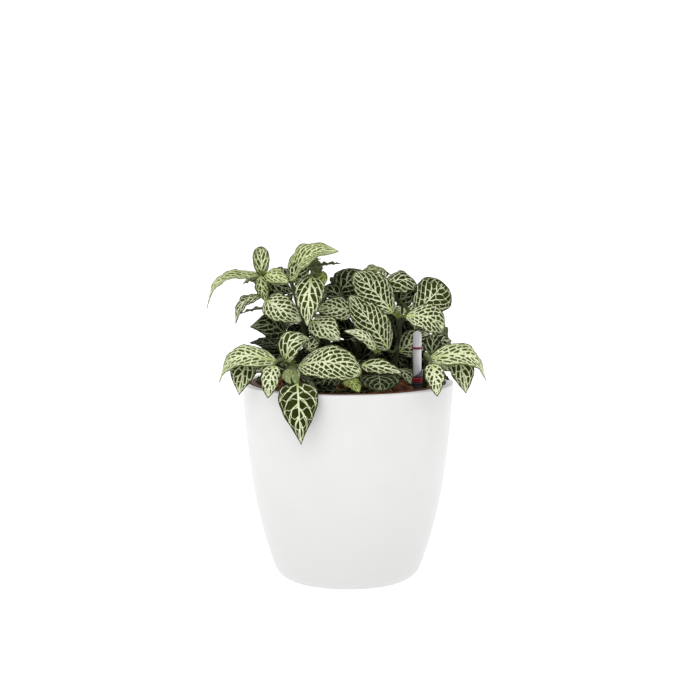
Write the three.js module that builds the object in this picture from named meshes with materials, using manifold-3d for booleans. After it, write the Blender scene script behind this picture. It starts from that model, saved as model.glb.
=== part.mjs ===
// Potted nerve plant: a mosaic plant with netted leaves in a clay-pebble culture pot, which
// stands in a white planter with a water-level indicator.
// Millimetres, +Z up. The origin is the centre of the planter's foot, on the surface it stands on.
// The front of the plant looks along -Y, and +X is to the right seen from there.

import * as THREE from 'three';
import { mergeVertices } from 'three/addons/utils/BufferGeometryUtils.js';
import Module from 'manifold-3d';

const wasm = await Module();
wasm.setup();

// Driving dimensions.
const RUNNING_GAP = 0.3;            // between pieces that touch

const PLANTER_HEIGHT = 132;
const PLANTER_RIM_RADIUS = 70;
const PLANTER_LINEAR_TAPER = 9.5;   // radius lost to the foot, straight part
const PLANTER_CUBIC_TAPER = 15.6;   // radius lost to the foot, curved part
const PLANTER_FOOT_ROUNDING = 9;
const PLANTER_WALL = 3;
const PLANTER_LIP_WIDTH = 5;
const PLANTER_LIP_DEPTH = 7;
const PLANTER_FLOOR = 3;
const PLANTER_INNER_ROUNDING = 6;
const PLANTER_RIM_ROUNDING = 0.8;
const PLANTER_SEGMENTS = 32;

const CULTURE_RIM_RADIUS = 63.8;
const CULTURE_TOP_RADIUS = 62.2;
const CULTURE_BOTTOM_RADIUS = 44.5;
const CULTURE_WALL = 1.6;
const CULTURE_TOP = 132.2;
const CULTURE_RIM_HEIGHT = 5;
const CULTURE_RIM_SLOPE = 1.4;
const CULTURE_BOTTOM = 14;
const CULTURE_FEET = 4;
const CULTURE_FOOT_RADIUS = 5;
const CULTURE_FOOT_CIRCLE = 30;
const CULTURE_SLOTS = 8;
const CULTURE_SLOT_WIDTH = 2.6;
const CULTURE_SLOT_HEIGHT = 26;
const CULTURE_SLOT_RISE = 6;        // from the pot's floor to the slots
const CULTURE_SEGMENTS = 32;

const GRANULE_BED_TOP = 123;
const GRANULE_COUNT = 27;
const GRANULE_RADIUS = 6.4;
const STEM_HOLE_DEPTH = 24;

const INDICATOR_X = 45.9;
const INDICATOR_Y = 0;
const INDICATOR_BOTTOM = 64;
const INDICATOR_HOUSING_RADIUS = 4.2;
const INDICATOR_HOUSING_BORE = 3.2;
const INDICATOR_HOUSING_FLOOR = 1.5;
const INDICATOR_HOUSING_TOP = 131.2;
const INDICATOR_COLLAR_RADIUS = 3.9;
const INDICATOR_COLLAR_TOP = 134.6;
const INDICATOR_SHROUD_TOP = 139.5;   // of the oblique shroud round the tube's foot, at its right
const INDICATOR_SHROUD_SLOPE = 0.62;
const INDICATOR_TUBE_RADIUS = 2.8;
const INDICATOR_TUBE_BORE = 1.8;
const INDICATOR_TUBE_TOP = 165.5;
const INDICATOR_MARK_HEIGHT = 154.3;
const INDICATOR_MARK_WIDTH = 1.4;
const INDICATOR_MARK_RADIUS = 3.7;
const FLOAT_RADIUS = 2.6;
const FLOAT_LENGTH = 26;
const NEEDLE_RADIUS = 0.8;
const NEEDLE_BORE = 1.3;
const NEEDLE_TOP = 137;

const BLADE_THICKNESS = 0.8;
const WIDE_BLADE_LENGTH = 35;
const WIDE_BLADE = { stations: [0.09, 0.28, 0.5, 0.72, 0.9], columns: [-1, -0.5, 0, 0.5, 1] };
const SMALL_BLADE = { stations: [0.14, 0.4, 0.68, 0.88], columns: [-1, 0, 1] };
const SHORT_BLADE_LENGTH = 22;
const SHORT_BLADE = { stations: [0.17, 0.47, 0.8], columns: [-1, 0, 1] };
const MARGIN_WAVES = 3;
const PETIOLE_RADIUS = 0.9;
const PETIOLE_BEND = 0.45;          // how straight a petiole runs into its blade
const SHORTEST_PETIOLE = 2.6;        // a leaf nearer to its stem than this clasps it
const STEM_SIDES = 6;
const STEM_STEPS = 8;
const BRANCH_STEPS = 4;
const BRANCH_THINNING = 0.7;
const INDICATOR_SIDES = 12;

// Leaves are placed as they are seen from the front: a place is [x, z, y], where x and z are
// read in the upright plane through the pot's axis, and y is the depth at which the leaf lies
// on that line of sight.
const EYE_DISTANCE = 1400;
const EYE_HEIGHT = 315;

// The right front shoot mirrors the left one.
const MIRROR_SUM = 6.3;
const MIRROR_LIFT = 1.2;

function seen([x, z, y]) {
  const scale = (EYE_DISTANCE + y) / EYE_DISTANCE;
  return new THREE.Vector3(x * scale, y, EYE_HEIGHT + (z - EYE_HEIGHT) * scale);
}

// Leaf rows: name, base, tip, width, the way the upper side faces, and the shape.
// arch lifts the midrib off the line from base to tip, most of it at peak. sweep bends it
// sideways. fold lifts both margins, curl drops them, and wave is their ruffle. belly is where
// the blade is widest, and point draws the tip out.
const SHAPE = { arch: 3, peak: 0.5, sweep: 0, fold: 0.15, curl: 0.1, wave: 0.6, belly: 0.38, point: 1 };

function leaf(name, base, tip, width, facing, shape = {}) {
  return { name, base, tip, width, facing, ...SHAPE, ...shape };
}

// Leaves that the front view hides: the real place of the base, the turn round the stem in
// degrees from +X, the length, the width, the tip's rise above the base, and the arch.
function hiddenLeaf(name, [x, y, z], turn, length, width, rise, arch) {
  const angle = THREE.MathUtils.degToRad(turn);
  const reach = Math.sqrt(length * length - rise * rise);
  const tip = { x: x + reach * Math.cos(angle), y: y + reach * Math.sin(angle), z: z + rise };
  const facing = [Math.cos(angle) * 0.35, Math.sin(angle) * 0.35, 0.94];
  return { ...leaf(name, null, null, width, facing, { arch, peak: 0.45 }), from: [x, y, z], to: tip };
}

function mirrored(row) {
  const flip = ([x, z, y]) => [MIRROR_SUM - x, z + MIRROR_LIFT, y];
  const [fx, fy, fz] = row.facing;
  const name = `${row.name}_mirrored`;
  return { ...row, name, base: flip(row.base), tip: flip(row.tip), facing: [-fx, fy, fz], sweep: -row.sweep };
}

// Leaves over the rim at the front left, which come back mirrored at the front right.
const LOW_SIDE_LEAVES = [
  leaf('side_long', [-47, 145, -40], [-85.2, 131, -30], 18.5, [-0.15, -0.68, 0.72],
    { arch: 16.5, peak: 0.49, point: 1.6 }),
  leaf('side_hanging', [-66, 147, -36], [-72, 122.4, -42], 18.5, [-0.25, -0.95, 0.2],
    { fold: 0.25, belly: 0.3, point: 1.1 }),
  leaf('side_short', [-49, 142, -50], [-53, 120.5, -61], 13.5, [-0.1, -0.9, 0.35],
    { arch: 3.5, peak: 0.4, fold: 0.3 }),
  leaf('side_tip', [-53, 135, -44], [-60.8, 131.6, -47], 5, [0, -0.5, 0.86], { arch: 1 }),
  leaf('side_dark', [-44, 155, -26], [-65, 157.5, -24], 11, [0, -0.5, 0.86], { arch: 2 }),
];

const FRONT_LEFT_LEAVES = [
  ...LOW_SIDE_LEAVES,
  leaf('upright', [-41, 145.5, -44], [-24.5, 160, -38], 19, [-0.4, -0.8, 0.4], { arch: 11.5, fold: 0.3 }),
  leaf('bright', [-33, 142, -48], [9.5, 137, -60], 26, [0.1, -0.8, 0.6],
    { arch: 9, peak: 0.52, belly: 0.48, point: 0.85 }),
  leaf('drooping', [-32, 130, -59], [-31, 89, -78], 26, [0, -0.97, 0.25],
    { arch: 8, peak: 0.32, belly: 0.27, point: 1.1, fold: 0.05 }),
  leaf('young', [-34, 137, -46], [-20, 126, -60], 7, [0.3, -0.7, 0.6], { arch: 2 }),
  hiddenLeaf('back', [-36, -30, 141], 108, 26, 18, 2, 3),
];

const FRONT_RIGHT_LEAVES = [
  ...LOW_SIDE_LEAVES.map(mirrored),
  leaf('netted', [54.5, 150, -35], [56, 164, -28], 11, [-0.1, -0.9, 0.4]),
  leaf('dark', [52, 156, -26], [67, 159.5, -20], 10, [0, -0.9, 0.45]),
  hiddenLeaf('back', [48, -30, 141], 62, 22, 15, 2, 3),
];

const UPPER_LEFT_LEAVES = [
  leaf('crown', [-56.5, 201, 0], [-57.3, 221.3, 4], 11.8, [0, -0.95, 0.3],
    { arch: 1, fold: 0.3, belly: 0.48, point: 0.7 }),
  leaf('crown_fold', [-57.5, 202, -5], [-53.5, 184.5, -7], 10, [-0.4, -0.85, 0.3], { arch: 2 }),
  leaf('long_arching', [-57, 202.5, 2], [-93, 180, -4], 15, [-0.3, -0.42, 0.86],
    { arch: 12, peak: 0.58, point: 1.5, fold: 0.35 }),
  leaf('crown_right', [-54.5, 202.5, -3], [-38.5, 197, -9], 13, [0.1, -0.8, 0.6]),
  leaf('crown_under', [-54, 198, 1], [-36.5, 191, 2], 12, [0, -0.9, 0.4], { arch: 2 }),
  leaf('crown_left', [-58, 202, 6], [-66.5, 196.5, 9], 7, [-0.5, -0.4, 0.75], { arch: 2 }),
  leaf('turned', [-55, 193, 5], [-67, 202, 11], 10, [-0.4, 0.6, 0.7]),
  leaf('curved', [-57, 189, -4], [-74, 170, -9], 12, [-0.42, -0.55, 0.72], { arch: 7, point: 1.2 }),
  leaf('netted', [-54, 186.5, -6], [-30, 171.5, -15], 21, [0.1, -0.85, 0.5], { arch: 6, sweep: 3 }),
  leaf('level', [-53, 181, 9], [-70.5, 177, 4], 13, [0, 0.13, 0.99], { arch: 1, wave: 1.3 }),
  leaf('dark', [-41, 163.5, 0], [-65, 168, -7], 22.5, [-0.05, -0.85, 0.5],
    { arch: 4, sweep: 2.5, point: 1.3 }),
  leaf('shade', [-39, 153, 8], [-59, 158, 12], 17, [0, -0.88, 0.48]),
  leaf('shade_right', [-40, 160, 9], [-25, 166, 12], 14, [0, -0.88, 0.48]),
  leaf('shade_low', [-33, 147, 10], [-49, 142.5, 13], 15, [0, -0.88, 0.48]),
  hiddenLeaf('low_left', [-36, 7, 146], 192, 26, 18, -2, 4),
  hiddenLeaf('mid_back', [-43, 9, 167], 112, 24, 16, 2, 4),
  hiddenLeaf('top_back', [-50, 6, 180], 72, 21, 14, 2, 3),
];

const UPPER_CENTRE_LEAVES = [
  leaf('tall_arching', [-38, 199, -4], [-6, 218, -9], 22, [-0.42, -0.62, 0.66],
    { arch: 9.5, peak: 0.57, belly: 0.33, fold: 0.35, point: 0.85, wave: 1 }),
  leaf('tall_inner', [-36.5, 198, -7.5], [-25.5, 212, -5.5], 14, [0, -0.9, 0.4]),
  leaf('back_dark', [-39, 200, 4], [-50, 206.5, 9], 9, [-0.2, -0.3, 0.93], { arch: 2.5 }),
  leaf('low_netted', [-24, 172, -13], [-5, 158.5, -23], 19.5, [0.25, -0.85, 0.45]),
  leaf('low_small', [-27, 153, -16], [-18, 162, -15], 10, [0.1, -0.9, 0.4]),
  hiddenLeaf('low_front', [-18, -9, 139], -122, 21, 16, -2, 3),
];

const TOP_CENTRE_LEAVES = [
  leaf('hanging', [-24.3, 200.8, -12.3], [-26.8, 168, -25], 20.5, [-0.05, -0.93, 0.35],
    { arch: 4, fold: 0.1, belly: 0.25, point: 0.9 }),
  leaf('young', [-19.5, 194, -2], [-20, 206, 10], 13, [0, -0.75, 0.65]),
  leaf('level', [-20, 209, 2], [-4.5, 210, -2], 9, [0, 0.13, 0.99], { arch: 0.6, wave: 1.2 }),
  leaf('turned', [-20, 203, 3], [-25, 214, 7], 10, [-0.1, 0.8, 0.6]),
  leaf('shade', [-10, 147, 9], [-33, 151.5, 12], 17, [0, -0.88, 0.48]),
  hiddenLeaf('low_front', [-9, 1, 149], -92, 25, 17, -8, 5),
  hiddenLeaf('mid_back', [-15, 7, 170], 100, 22, 15, 1, 4),
  hiddenLeaf('top_back', [-21, 4, 193], 112, 22, 14, -2, 4),
];

const CENTRE_LEAVES = [
  leaf('netted', [4, 178, 0], [-22, 180, -2], 18, [0, -0.8, 0.6]),
  leaf('dark', [-6, 190, 12], [9, 206, 16], 22, [-0.05, -0.9, 0.42], { fold: 0.05 }),
  leaf('small_dark', [-4, 187, 9], [-18, 194, 9], 13, [0, -0.8, 0.6]),
  leaf('hump', [6, 198.5, 20], [26, 202.5, 20], 13, [0, -0.3, 0.95], { arch: 6.5 }),
  leaf('shade_left', [5, 146, 17], [-15, 156, 19], 19, [0, -0.88, 0.48]),
  leaf('shade_right', [8, 146, 17], [27, 157, 19], 18, [0, -0.88, 0.48]),
  leaf('shade_high', [4, 163, 15], [-14, 172, 16], 15, [0, -0.88, 0.48]),
  hiddenLeaf('low_front', [9, 10, 143], -78, 24, 17, -4, 4),
  hiddenLeaf('mid_back', [4, 13, 184], 70, 26, 18, -3, 5),
  hiddenLeaf('top_back', [0, 20, 196], 118, 22, 15, -4, 4),
];

const RIGHT_CENTRE_LEAVES = [
  leaf('upper', [30, 177, -12], [4, 204.5, -8], 24.5, [0, -0.85, 0.52], { belly: 0.52 }),
  leaf('long', [27, 153, -16], [0.8, 189.5, -17], 23.5, [0.05, -0.9, 0.4], { belly: 0.44 }),
  leaf('bright', [38, 175, -14], [64, 166, -12], 22, [0.05, -0.8, 0.6],
    { arch: 5, sweep: -2, belly: 0.48, point: 0.7 }),
  leaf('round', [46, 178.5, -4], [65, 197.3, 4], 25.5, [0, -0.92, 0.38],
    { sweep: 1.5, belly: 0.48, point: 0.62 }),
  leaf('arched', [23.5, 195.5, 3], [48, 192.5, 6], 22, [0, -0.6, 0.8], { arch: 7, curl: 0.3 }),
  leaf('stem_shade', [35.5, 174, -1], [34, 147, 3], 16, [0, -0.9, 0.4]),
  leaf('shade_low', [30.5, 149, 2], [39, 138, 6], 12, [0, -0.9, 0.4]),
  leaf('inner', [33, 183, 2], [44.5, 193.5, 6], 13, [0, -0.9, 0.4]),
  leaf('behind_tube', [34, 152, 9], [56, 163, 18], 16, [-0.1, -0.85, 0.5]),
  leaf('low_netted', [33, 140, -12], [42, 129.5, -31], 12, [0.1, -0.55, 0.83]),
  hiddenLeaf('top_back', [29, 2, 184], 92, 24, 16, 0, 4),
];

const FRONT_CENTRE_LEAVES = [
  leaf('edge_on', [18.5, 152, -23.5], [-3, 165.5, -29], 13, [0.2, -0.6, 0.78], { arch: 5 }),
  leaf('bright', [9, 142.5, -30], [36, 137, -35], 14, [0.1, -0.65, 0.75], { arch: 2.5 }),
  leaf('dark_front', [20, 137, -30], [22, 125, -60], 27, [0, -0.3, 0.95], { arch: 2, belly: 0.5 }),
  leaf('lime', [1, 133, -36], [7.5, 125, -59], 12, [-0.1, -0.4, 0.9], { arch: 2 }),
  leaf('dark_left', [-4, 138, -30], [-22, 127, -55], 18, [-0.1, -0.5, 0.86], { arch: 2 }),
  hiddenLeaf('back_left', [4, -24, 138], 158, 23, 16, -1, 3),
];

const BACK_LEFT_LEAVES = [
  hiddenLeaf('low_left', [-31, 27, 146], 168, 34, 22, -3, 7),
  hiddenLeaf('low_right', [-22, 33, 145], 84, 35, 21, -8, 8),
  hiddenLeaf('mid_back', [-30, 32, 160], 128, 38, 24, -8, 9),
  hiddenLeaf('mid_right', [-22, 28, 160], 8, 20, 14, 2, 3),
  hiddenLeaf('mid_front', [-29, 24, 168], -100, 16, 12, 3, 2),
  hiddenLeaf('top_left', [-32, 30, 173], 176, 27, 17, -2, 5),
  hiddenLeaf('top_right', [-24, 32, 174], 66, 30, 19, -2, 6),
];

const BACK_LEAVES = [
  hiddenLeaf('low_left', [4, 42, 141], 112, 34, 19, -4, 6),
  hiddenLeaf('low_right', [13, 42, 141], 62, 34, 20, -4, 6),
  hiddenLeaf('droop', [8, 44, 152], 90, 40, 24, -20, 12),
  hiddenLeaf('mid_left', [4, 38, 162], 172, 22, 15, 2, 4),
  hiddenLeaf('mid_right', [12, 38, 162], 8, 20, 14, 2, 4),
  hiddenLeaf('top_left', [5, 41, 176], 118, 30, 19, 0, 5),
  hiddenLeaf('top_right', [11, 41, 176], 48, 26, 17, -1, 5),
];

const BACK_RIGHT_LEAVES = [
  hiddenLeaf('low_left', [39, 28, 145], 76, 36, 22, -8, 8),
  hiddenLeaf('low_right', [44, 22, 147], 2, 27, 18, -1, 5),
  leaf('shade', [40, 141, 18], [55, 150, 14], 16, [0, -0.88, 0.48]),
  hiddenLeaf('mid_back', [43, 28, 160], 46, 37, 23, -7, 9),
  hiddenLeaf('mid_left', [37, 27, 162], 172, 18, 12, 3, 3),
  hiddenLeaf('top_left', [39, 29, 174], 104, 28, 18, -2, 5),
  hiddenLeaf('top_right', [44, 25, 173], 8, 17, 12, -1, 3),
  hiddenLeaf('low_front', [43, 19, 142], -32, 22, 15, -2, 4),
];

// Shoots: the stem's route from the bottom of its hole to its tip, its radius, and its leaves.
// The first two points of a route are real places, [x, y, z], in the granules and at their top.
const SHOOTS = [
  { name: 'shoot_front_left', colour: 0x6f8a3c, radius: 2.1, leaves: FRONT_LEFT_LEAVES,
    root: [-34, -33], route: [[-36, 137, -38], [-38, 143, -43], [-40, 147, -43]],
    branch: [[-36, 139, -40], [-50, 144.5, -34], [-62, 147.5, -34]] },
  { name: 'shoot_front_right', colour: 0x6a8539, radius: 2.1, leaves: FRONT_RIGHT_LEAVES,
    root: [50, -17], route: [[51.5, 139, -24], [52, 145, -33], [51.5, 150, -38]],
    branch: [[51.5, 141, -28], [59, 145.7, -32], [68, 148.7, -34]] },
  { name: 'shoot_upper_left', colour: 0x7c9647, radius: 1.7, leaves: UPPER_LEFT_LEAVES,
    root: [-25, 7], route: [[-36, 155, 6], [-46, 172, 5], [-54, 187, 2], [-56, 203, 2]] },
  { name: 'shoot_upper_centre', colour: 0x76913f, radius: 1.7, leaves: UPPER_CENTRE_LEAVES,
    root: [-15, -6], route: [[-25, 150, -9], [-30, 170, -9], [-34, 186, -5], [-37.5, 199, -3]] },
  { name: 'shoot_top_centre', colour: 0x6d8838, radius: 1.7, leaves: TOP_CENTRE_LEAVES,
    root: [-7, 9], route: [[-13, 158, 5], [-18, 180, 2], [-20.5, 196, 1], [-21, 211, 2]] },
  { name: 'shoot_centre', colour: 0x5f7a34, radius: 1.7, leaves: CENTRE_LEAVES,
    root: [6, 14], route: [[7, 155, 12], [5, 176, 8], [-2, 188, 12], [0, 197, 17]] },
  { name: 'shoot_right_centre', colour: 0x648036, radius: 2.1, leaves: RIGHT_CENTRE_LEAVES,
    root: [30, -4], route: [[32, 152, -5], [34, 165, -8], [33, 178, -8]],
    branch: [[34, 170, -7], [40, 178, -3], [34, 186, 2], [25, 197.4, 3]] },
  { name: 'shoot_front_centre', colour: 0x71893c, radius: 1.7, leaves: FRONT_CENTRE_LEAVES,
    root: [6, -26], route: [[11, 141, -26], [18.5, 151, -22]] },
  { name: 'shoot_back_left', colour: 0x68833a, radius: 1.8, leaves: BACK_LEFT_LEAVES,
    root: [-26, 28], straight: [[-27, 28, 150], [-28, 29, 172]] },
  { name: 'shoot_back', colour: 0x637f37, radius: 1.8, leaves: BACK_LEAVES,
    root: [8, 38], straight: [[8, 38, 150], [8, 39, 175]] },
  { name: 'shoot_back_right', colour: 0x6b863b, radius: 1.8, leaves: BACK_RIGHT_LEAVES,
    root: [39, 24], straight: [[40, 25, 150], [41, 26, 173]] },
];

// Solids.

function solid(geometry) {
  const bare = new THREE.BufferGeometry();
  bare.setAttribute('position', geometry.getAttribute('position').clone());
  if (geometry.index) bare.setIndex(geometry.index.clone());
  const merged = mergeVertices(bare, 1e-4);
  const triangles = Array.from(merged.index.array);
  const corners = merged.getAttribute('position').array;
  const kept = [];
  let volume = 0;
  const [a, b, c] = [new THREE.Vector3(), new THREE.Vector3(), new THREE.Vector3()];
  for (let i = 0; i < triangles.length; i += 3) {
    const [p, q, r] = triangles.slice(i, i + 3);
    if (p === q || q === r || r === p) continue;
    kept.push(p, q, r);
    a.fromArray(corners, 3 * p);
    b.fromArray(corners, 3 * q);
    c.fromArray(corners, 3 * r);
    volume += a.dot(b.cross(c));
  }
  if (volume < 0) kept.reverse();
  return new wasm.Manifold(new wasm.Mesh({
    numProp: 3,
    vertProperties: Float32Array.from(corners),
    triVerts: Uint32Array.from(kept),
  }));
}

function surface(manifold) {
  const mesh = manifold.getMesh();
  const geometry = new THREE.BufferGeometry();
  geometry.setAttribute('position', new THREE.BufferAttribute(Float32Array.from(mesh.vertProperties), 3));
  geometry.setIndex(Array.from(mesh.triVerts));
  geometry.computeVertexNormals();
  return geometry;
}

function turned(points, segments) {
  const profile = points.map(([radius, height]) => new THREE.Vector2(radius, height));
  return new THREE.LatheGeometry(profile, segments).rotateX(Math.PI / 2);
}

function tube(points, radius, sides, steps) {
  const section = new THREE.Shape();
  for (let i = 0; i < sides; i += 1) {
    const angle = (2 * Math.PI * i) / sides;
    const [x, y] = [radius * Math.cos(angle), radius * Math.sin(angle)];
    if (i === 0) section.moveTo(x, y);
    else section.lineTo(x, y);
  }
  section.closePath();
  const path = new THREE.CatmullRomCurve3(points);
  return new THREE.ExtrudeGeometry(section, { steps, extrudePath: path, bevelEnabled: false });
}

function post(x, y, bottom, top, radius, sides) {
  const geometry = new THREE.CylinderGeometry(radius, radius, top - bottom, sides);
  return geometry.rotateX(Math.PI / 2).translate(x, y, (top + bottom) / 2);
}

// A seeded draw, so that every build is alike.
function seededDraw(seed) {
  let state = seed;
  return () => {
    state = (state * 1664525 + 1013904223) % 4294967296;
    return state / 4294967296;
  };
}

// Leaves.

function bladeEnds(row) {
  const base = row.from ? new THREE.Vector3(...row.from) : seen(row.base);
  const tip = row.to ? new THREE.Vector3(row.to.x, row.to.y, row.to.z) : seen(row.tip);
  return [base, tip];
}

// The blade's frame: along runs from base to tip, up is the upper side's way, and side is across.
function bladeFrame(row) {
  const [base, tip] = bladeEnds(row);
  const along = tip.clone().sub(base);
  const length = along.length();
  along.normalize();
  const facing = new THREE.Vector3(...row.facing);
  const up = facing.sub(along.clone().multiplyScalar(facing.dot(along))).normalize();
  const side = along.clone().cross(up);
  return { base, along, length, up, side };
}

function midribPoint(row, frame, t) {
  const bow = Math.sin(Math.PI * t ** (Math.log(0.5) / Math.log(row.peak)));
  return frame.base.clone()
    .addScaledVector(frame.along, frame.length * t)
    .addScaledVector(frame.up, row.arch * bow)
    .addScaledVector(frame.side, row.sweep * bow);
}

// Half the blade's width at t, from its rounded base to its pointed tip.
function halfWidth(row, t) {
  const rise = 1.5 * row.belly;
  const fall = 1.5 * (1 - row.belly) * row.point;
  const widest = rise / (rise + fall);
  const peakValue = widest ** rise * (1 - widest) ** fall;
  return (row.width / 2) * (t ** rise * (1 - t) ** fall) / peakValue;
}

function bladePoint(row, frame, t, v) {
  const step = 0.01;
  const [before, after] = [Math.max(t - step, 0), Math.min(t + step, 1)];
  const tangent = midribPoint(row, frame, after).sub(midribPoint(row, frame, before)).normalize();
  const normal = frame.side.clone().cross(tangent);
  const reach = halfWidth(row, t) * v;
  const ruffle = row.wave * v * v * Math.sin(2 * Math.PI * MARGIN_WAVES * t + Math.PI * Math.sign(v) / 3);
  const cup = Math.abs(reach) * (Math.sin(row.fold) - row.curl * Math.abs(v));
  const lift = cup + ruffle * Math.sin(Math.PI * t);
  const point = midribPoint(row, frame, t)
    .addScaledVector(frame.side, reach * Math.cos(row.fold))
    .addScaledVector(normal, lift);
  return { point, normal };
}

// The petiole leaves the stem at the point of its routes nearest to the leaf's base, and bends
// into the blade's own direction.
function petioleSections(frame, routes, columns) {
  let nearest = null;
  for (const route of routes) {
    for (const point of route.getSpacedPoints(60)) {
      const distance = point.distanceTo(frame.base);
      if (!nearest || distance < nearest.distance) nearest = { point, distance };
    }
  }
  const clasping = nearest.distance < SHORTEST_PETIOLE;
  const behind = (distance) => frame.base.clone().addScaledVector(frame.along, -distance);
  const root = clasping ? behind(1.5 * SHORTEST_PETIOLE) : nearest.point;
  const knee = behind(clasping ? 0.75 * SHORTEST_PETIOLE : PETIOLE_BEND * nearest.distance);
  const path = new THREE.QuadraticBezierCurve3(root, knee, frame.base);
  return [0, 0.5, 1].map((u) => {
    const centre = path.getPoint(u);
    const tangent = path.getTangent(u);
    const across = frame.side.clone().addScaledVector(tangent, -frame.side.dot(tangent)).normalize();
    const normal = across.clone().cross(tangent).multiplyScalar(PETIOLE_RADIUS);
    const places = u === 0 ? [0] : columns;
    return places.map((v) => ({ point: centre.clone().addScaledVector(across, v * PETIOLE_RADIUS), normal }));
  });
}

function bladeGrid(length) {
  if (length > WIDE_BLADE_LENGTH) return WIDE_BLADE;
  return length < SHORT_BLADE_LENGTH ? SHORT_BLADE : SMALL_BLADE;
}

function bladeSection(row, frame, t, columns) {
  return columns.map((v) => {
    const { point, normal } = bladePoint(row, frame, t, v);
    return { point, normal: normal.multiplyScalar(BLADE_THICKNESS / 2) };
  });
}

// One closed leaf, petiole and blade, with its upper and lower face split into triangles alike.
function leafGeometry(row, routes) {
  const frame = bladeFrame(row);
  const { stations, columns } = bladeGrid(frame.length);
  const sections = [
    ...petioleSections(frame, routes, columns),
    ...stations.map((t) => bladeSection(row, frame, t, columns)),
    bladeSection(row, frame, 1, [0]),
  ];
  const positions = [];
  const faces = [1, -1].map((way) => sections.map((section) => section.map(({ point, normal }) => {
    const corner = point.clone().addScaledVector(normal, way);
    positions.push(corner.x, corner.y, corner.z);
    return positions.length / 3 - 1;
  })));
  const triangles = [];
  const last = sections.length - 1;
  faces.forEach((rows, face) => {
    const add = (a, b, c) => (face === 0 ? triangles.push(a, b, c) : triangles.push(a, c, b));
    for (let i = 0; i < last; i += 1) {
      for (let k = 0; k + 1 < columns.length; k += 1) {
        if (i === 0) add(rows[0][0], rows[1][k + 1], rows[1][k]);
        else if (i === last - 1) add(rows[i][k], rows[i][k + 1], rows[last][0]);
        else {
          add(rows[i][k], rows[i + 1][k + 1], rows[i + 1][k]);
          add(rows[i][k], rows[i][k + 1], rows[i + 1][k + 1]);
        }
      }
    }
  });
  for (const margin of [0, columns.length - 1]) {
    for (let i = 0; i < last; i += 1) {
      const pick = (face, j) => faces[face][j][j === 0 || j === last ? 0 : margin];
      const [a, b, c, d] = [pick(0, i), pick(0, i + 1), pick(1, i + 1), pick(1, i)];
      if (margin === 0) triangles.push(a, b, c, a, c, d);
      else triangles.push(a, c, b, a, d, c);
    }
  }
  const geometry = new THREE.BufferGeometry();
  geometry.setAttribute('position', new THREE.Float32BufferAttribute(positions, 3));
  geometry.setIndex(triangles);
  return geometry;
}

function stemCurve(shoot) {
  const [x, y] = shoot.root;
  const points = [
    new THREE.Vector3(x, y, GRANULE_BED_TOP - STEM_HOLE_DEPTH + RUNNING_GAP),
    new THREE.Vector3(x, y, GRANULE_BED_TOP),
    new THREE.Vector3(x, y, GRANULE_BED_TOP + 0.8 * GRANULE_RADIUS),
  ];
  if (shoot.route) shoot.route.forEach((place) => points.push(seen(place)));
  else shoot.straight.forEach((place) => points.push(new THREE.Vector3(...place)));
  return new THREE.CatmullRomCurve3(points);
}

function shootSolid(shoot) {
  const stem = stemCurve(shoot);
  const routes = [stem];
  const pieces = [solid(tube(stem.points, shoot.radius, STEM_SIDES, STEM_STEPS))];
  if (shoot.branch) {
    const branch = new THREE.CatmullRomCurve3(shoot.branch.map(seen));
    routes.push(branch);
    pieces.push(solid(tube(branch.points, BRANCH_THINNING * shoot.radius, STEM_SIDES, BRANCH_STEPS)));
  }
  for (const row of shoot.leaves) pieces.push(solid(leafGeometry(row, routes)));
  return wasm.Manifold.union(pieces);
}

// Planter.

function planterRadius(height) {
  const below = 1 - height / PLANTER_HEIGHT;
  return PLANTER_RIM_RADIUS - PLANTER_LINEAR_TAPER * below - PLANTER_CUBIC_TAPER * below ** 3;
}

function planterProfile() {
  const points = [[0, 0]];
  const rounding = PLANTER_FOOT_ROUNDING;
  const arcSteps = 3;
  for (let i = 0; i <= arcSteps; i += 1) {
    const angle = (Math.PI / 2) * (i / arcSteps);
    const inset = rounding * (1 - Math.sin(angle));
    const height = rounding * (1 - Math.cos(angle));
    points.push([planterRadius(height) - inset, height]);
  }
  const wallSteps = 5;
  const wallTop = PLANTER_HEIGHT - PLANTER_RIM_ROUNDING;
  for (let i = 1; i <= wallSteps; i += 1) {
    const height = rounding + (wallTop - rounding) * (i / wallSteps);
    points.push([planterRadius(height), height]);
  }
  points.push([PLANTER_RIM_RADIUS - PLANTER_RIM_ROUNDING, PLANTER_HEIGHT]);
  const lip = PLANTER_RIM_RADIUS - PLANTER_LIP_WIDTH;
  points.push([lip + PLANTER_RIM_ROUNDING, PLANTER_HEIGHT]);
  points.push([lip, wallTop]);
  points.push([lip, PLANTER_HEIGHT - PLANTER_LIP_DEPTH]);
  const innerSteps = 4;
  const innerTop = PLANTER_HEIGHT - PLANTER_LIP_DEPTH - PLANTER_WALL;
  const innerFoot = PLANTER_FLOOR + PLANTER_INNER_ROUNDING;
  for (let i = 0; i <= innerSteps; i += 1) {
    const height = innerTop - (innerTop - innerFoot) * (i / innerSteps);
    points.push([planterRadius(height) - PLANTER_WALL, height]);
  }
  points.push([planterRadius(PLANTER_FLOOR) - PLANTER_WALL - PLANTER_INNER_ROUNDING, PLANTER_FLOOR]);
  points.push([0, PLANTER_FLOOR]);
  return points;
}

// Culture pot.

function cultureRadius(height) {
  const rise = (height - CULTURE_BOTTOM) / (CULTURE_TOP - CULTURE_BOTTOM);
  return CULTURE_BOTTOM_RADIUS + (CULTURE_TOP_RADIUS - CULTURE_BOTTOM_RADIUS) * rise;
}

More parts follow.
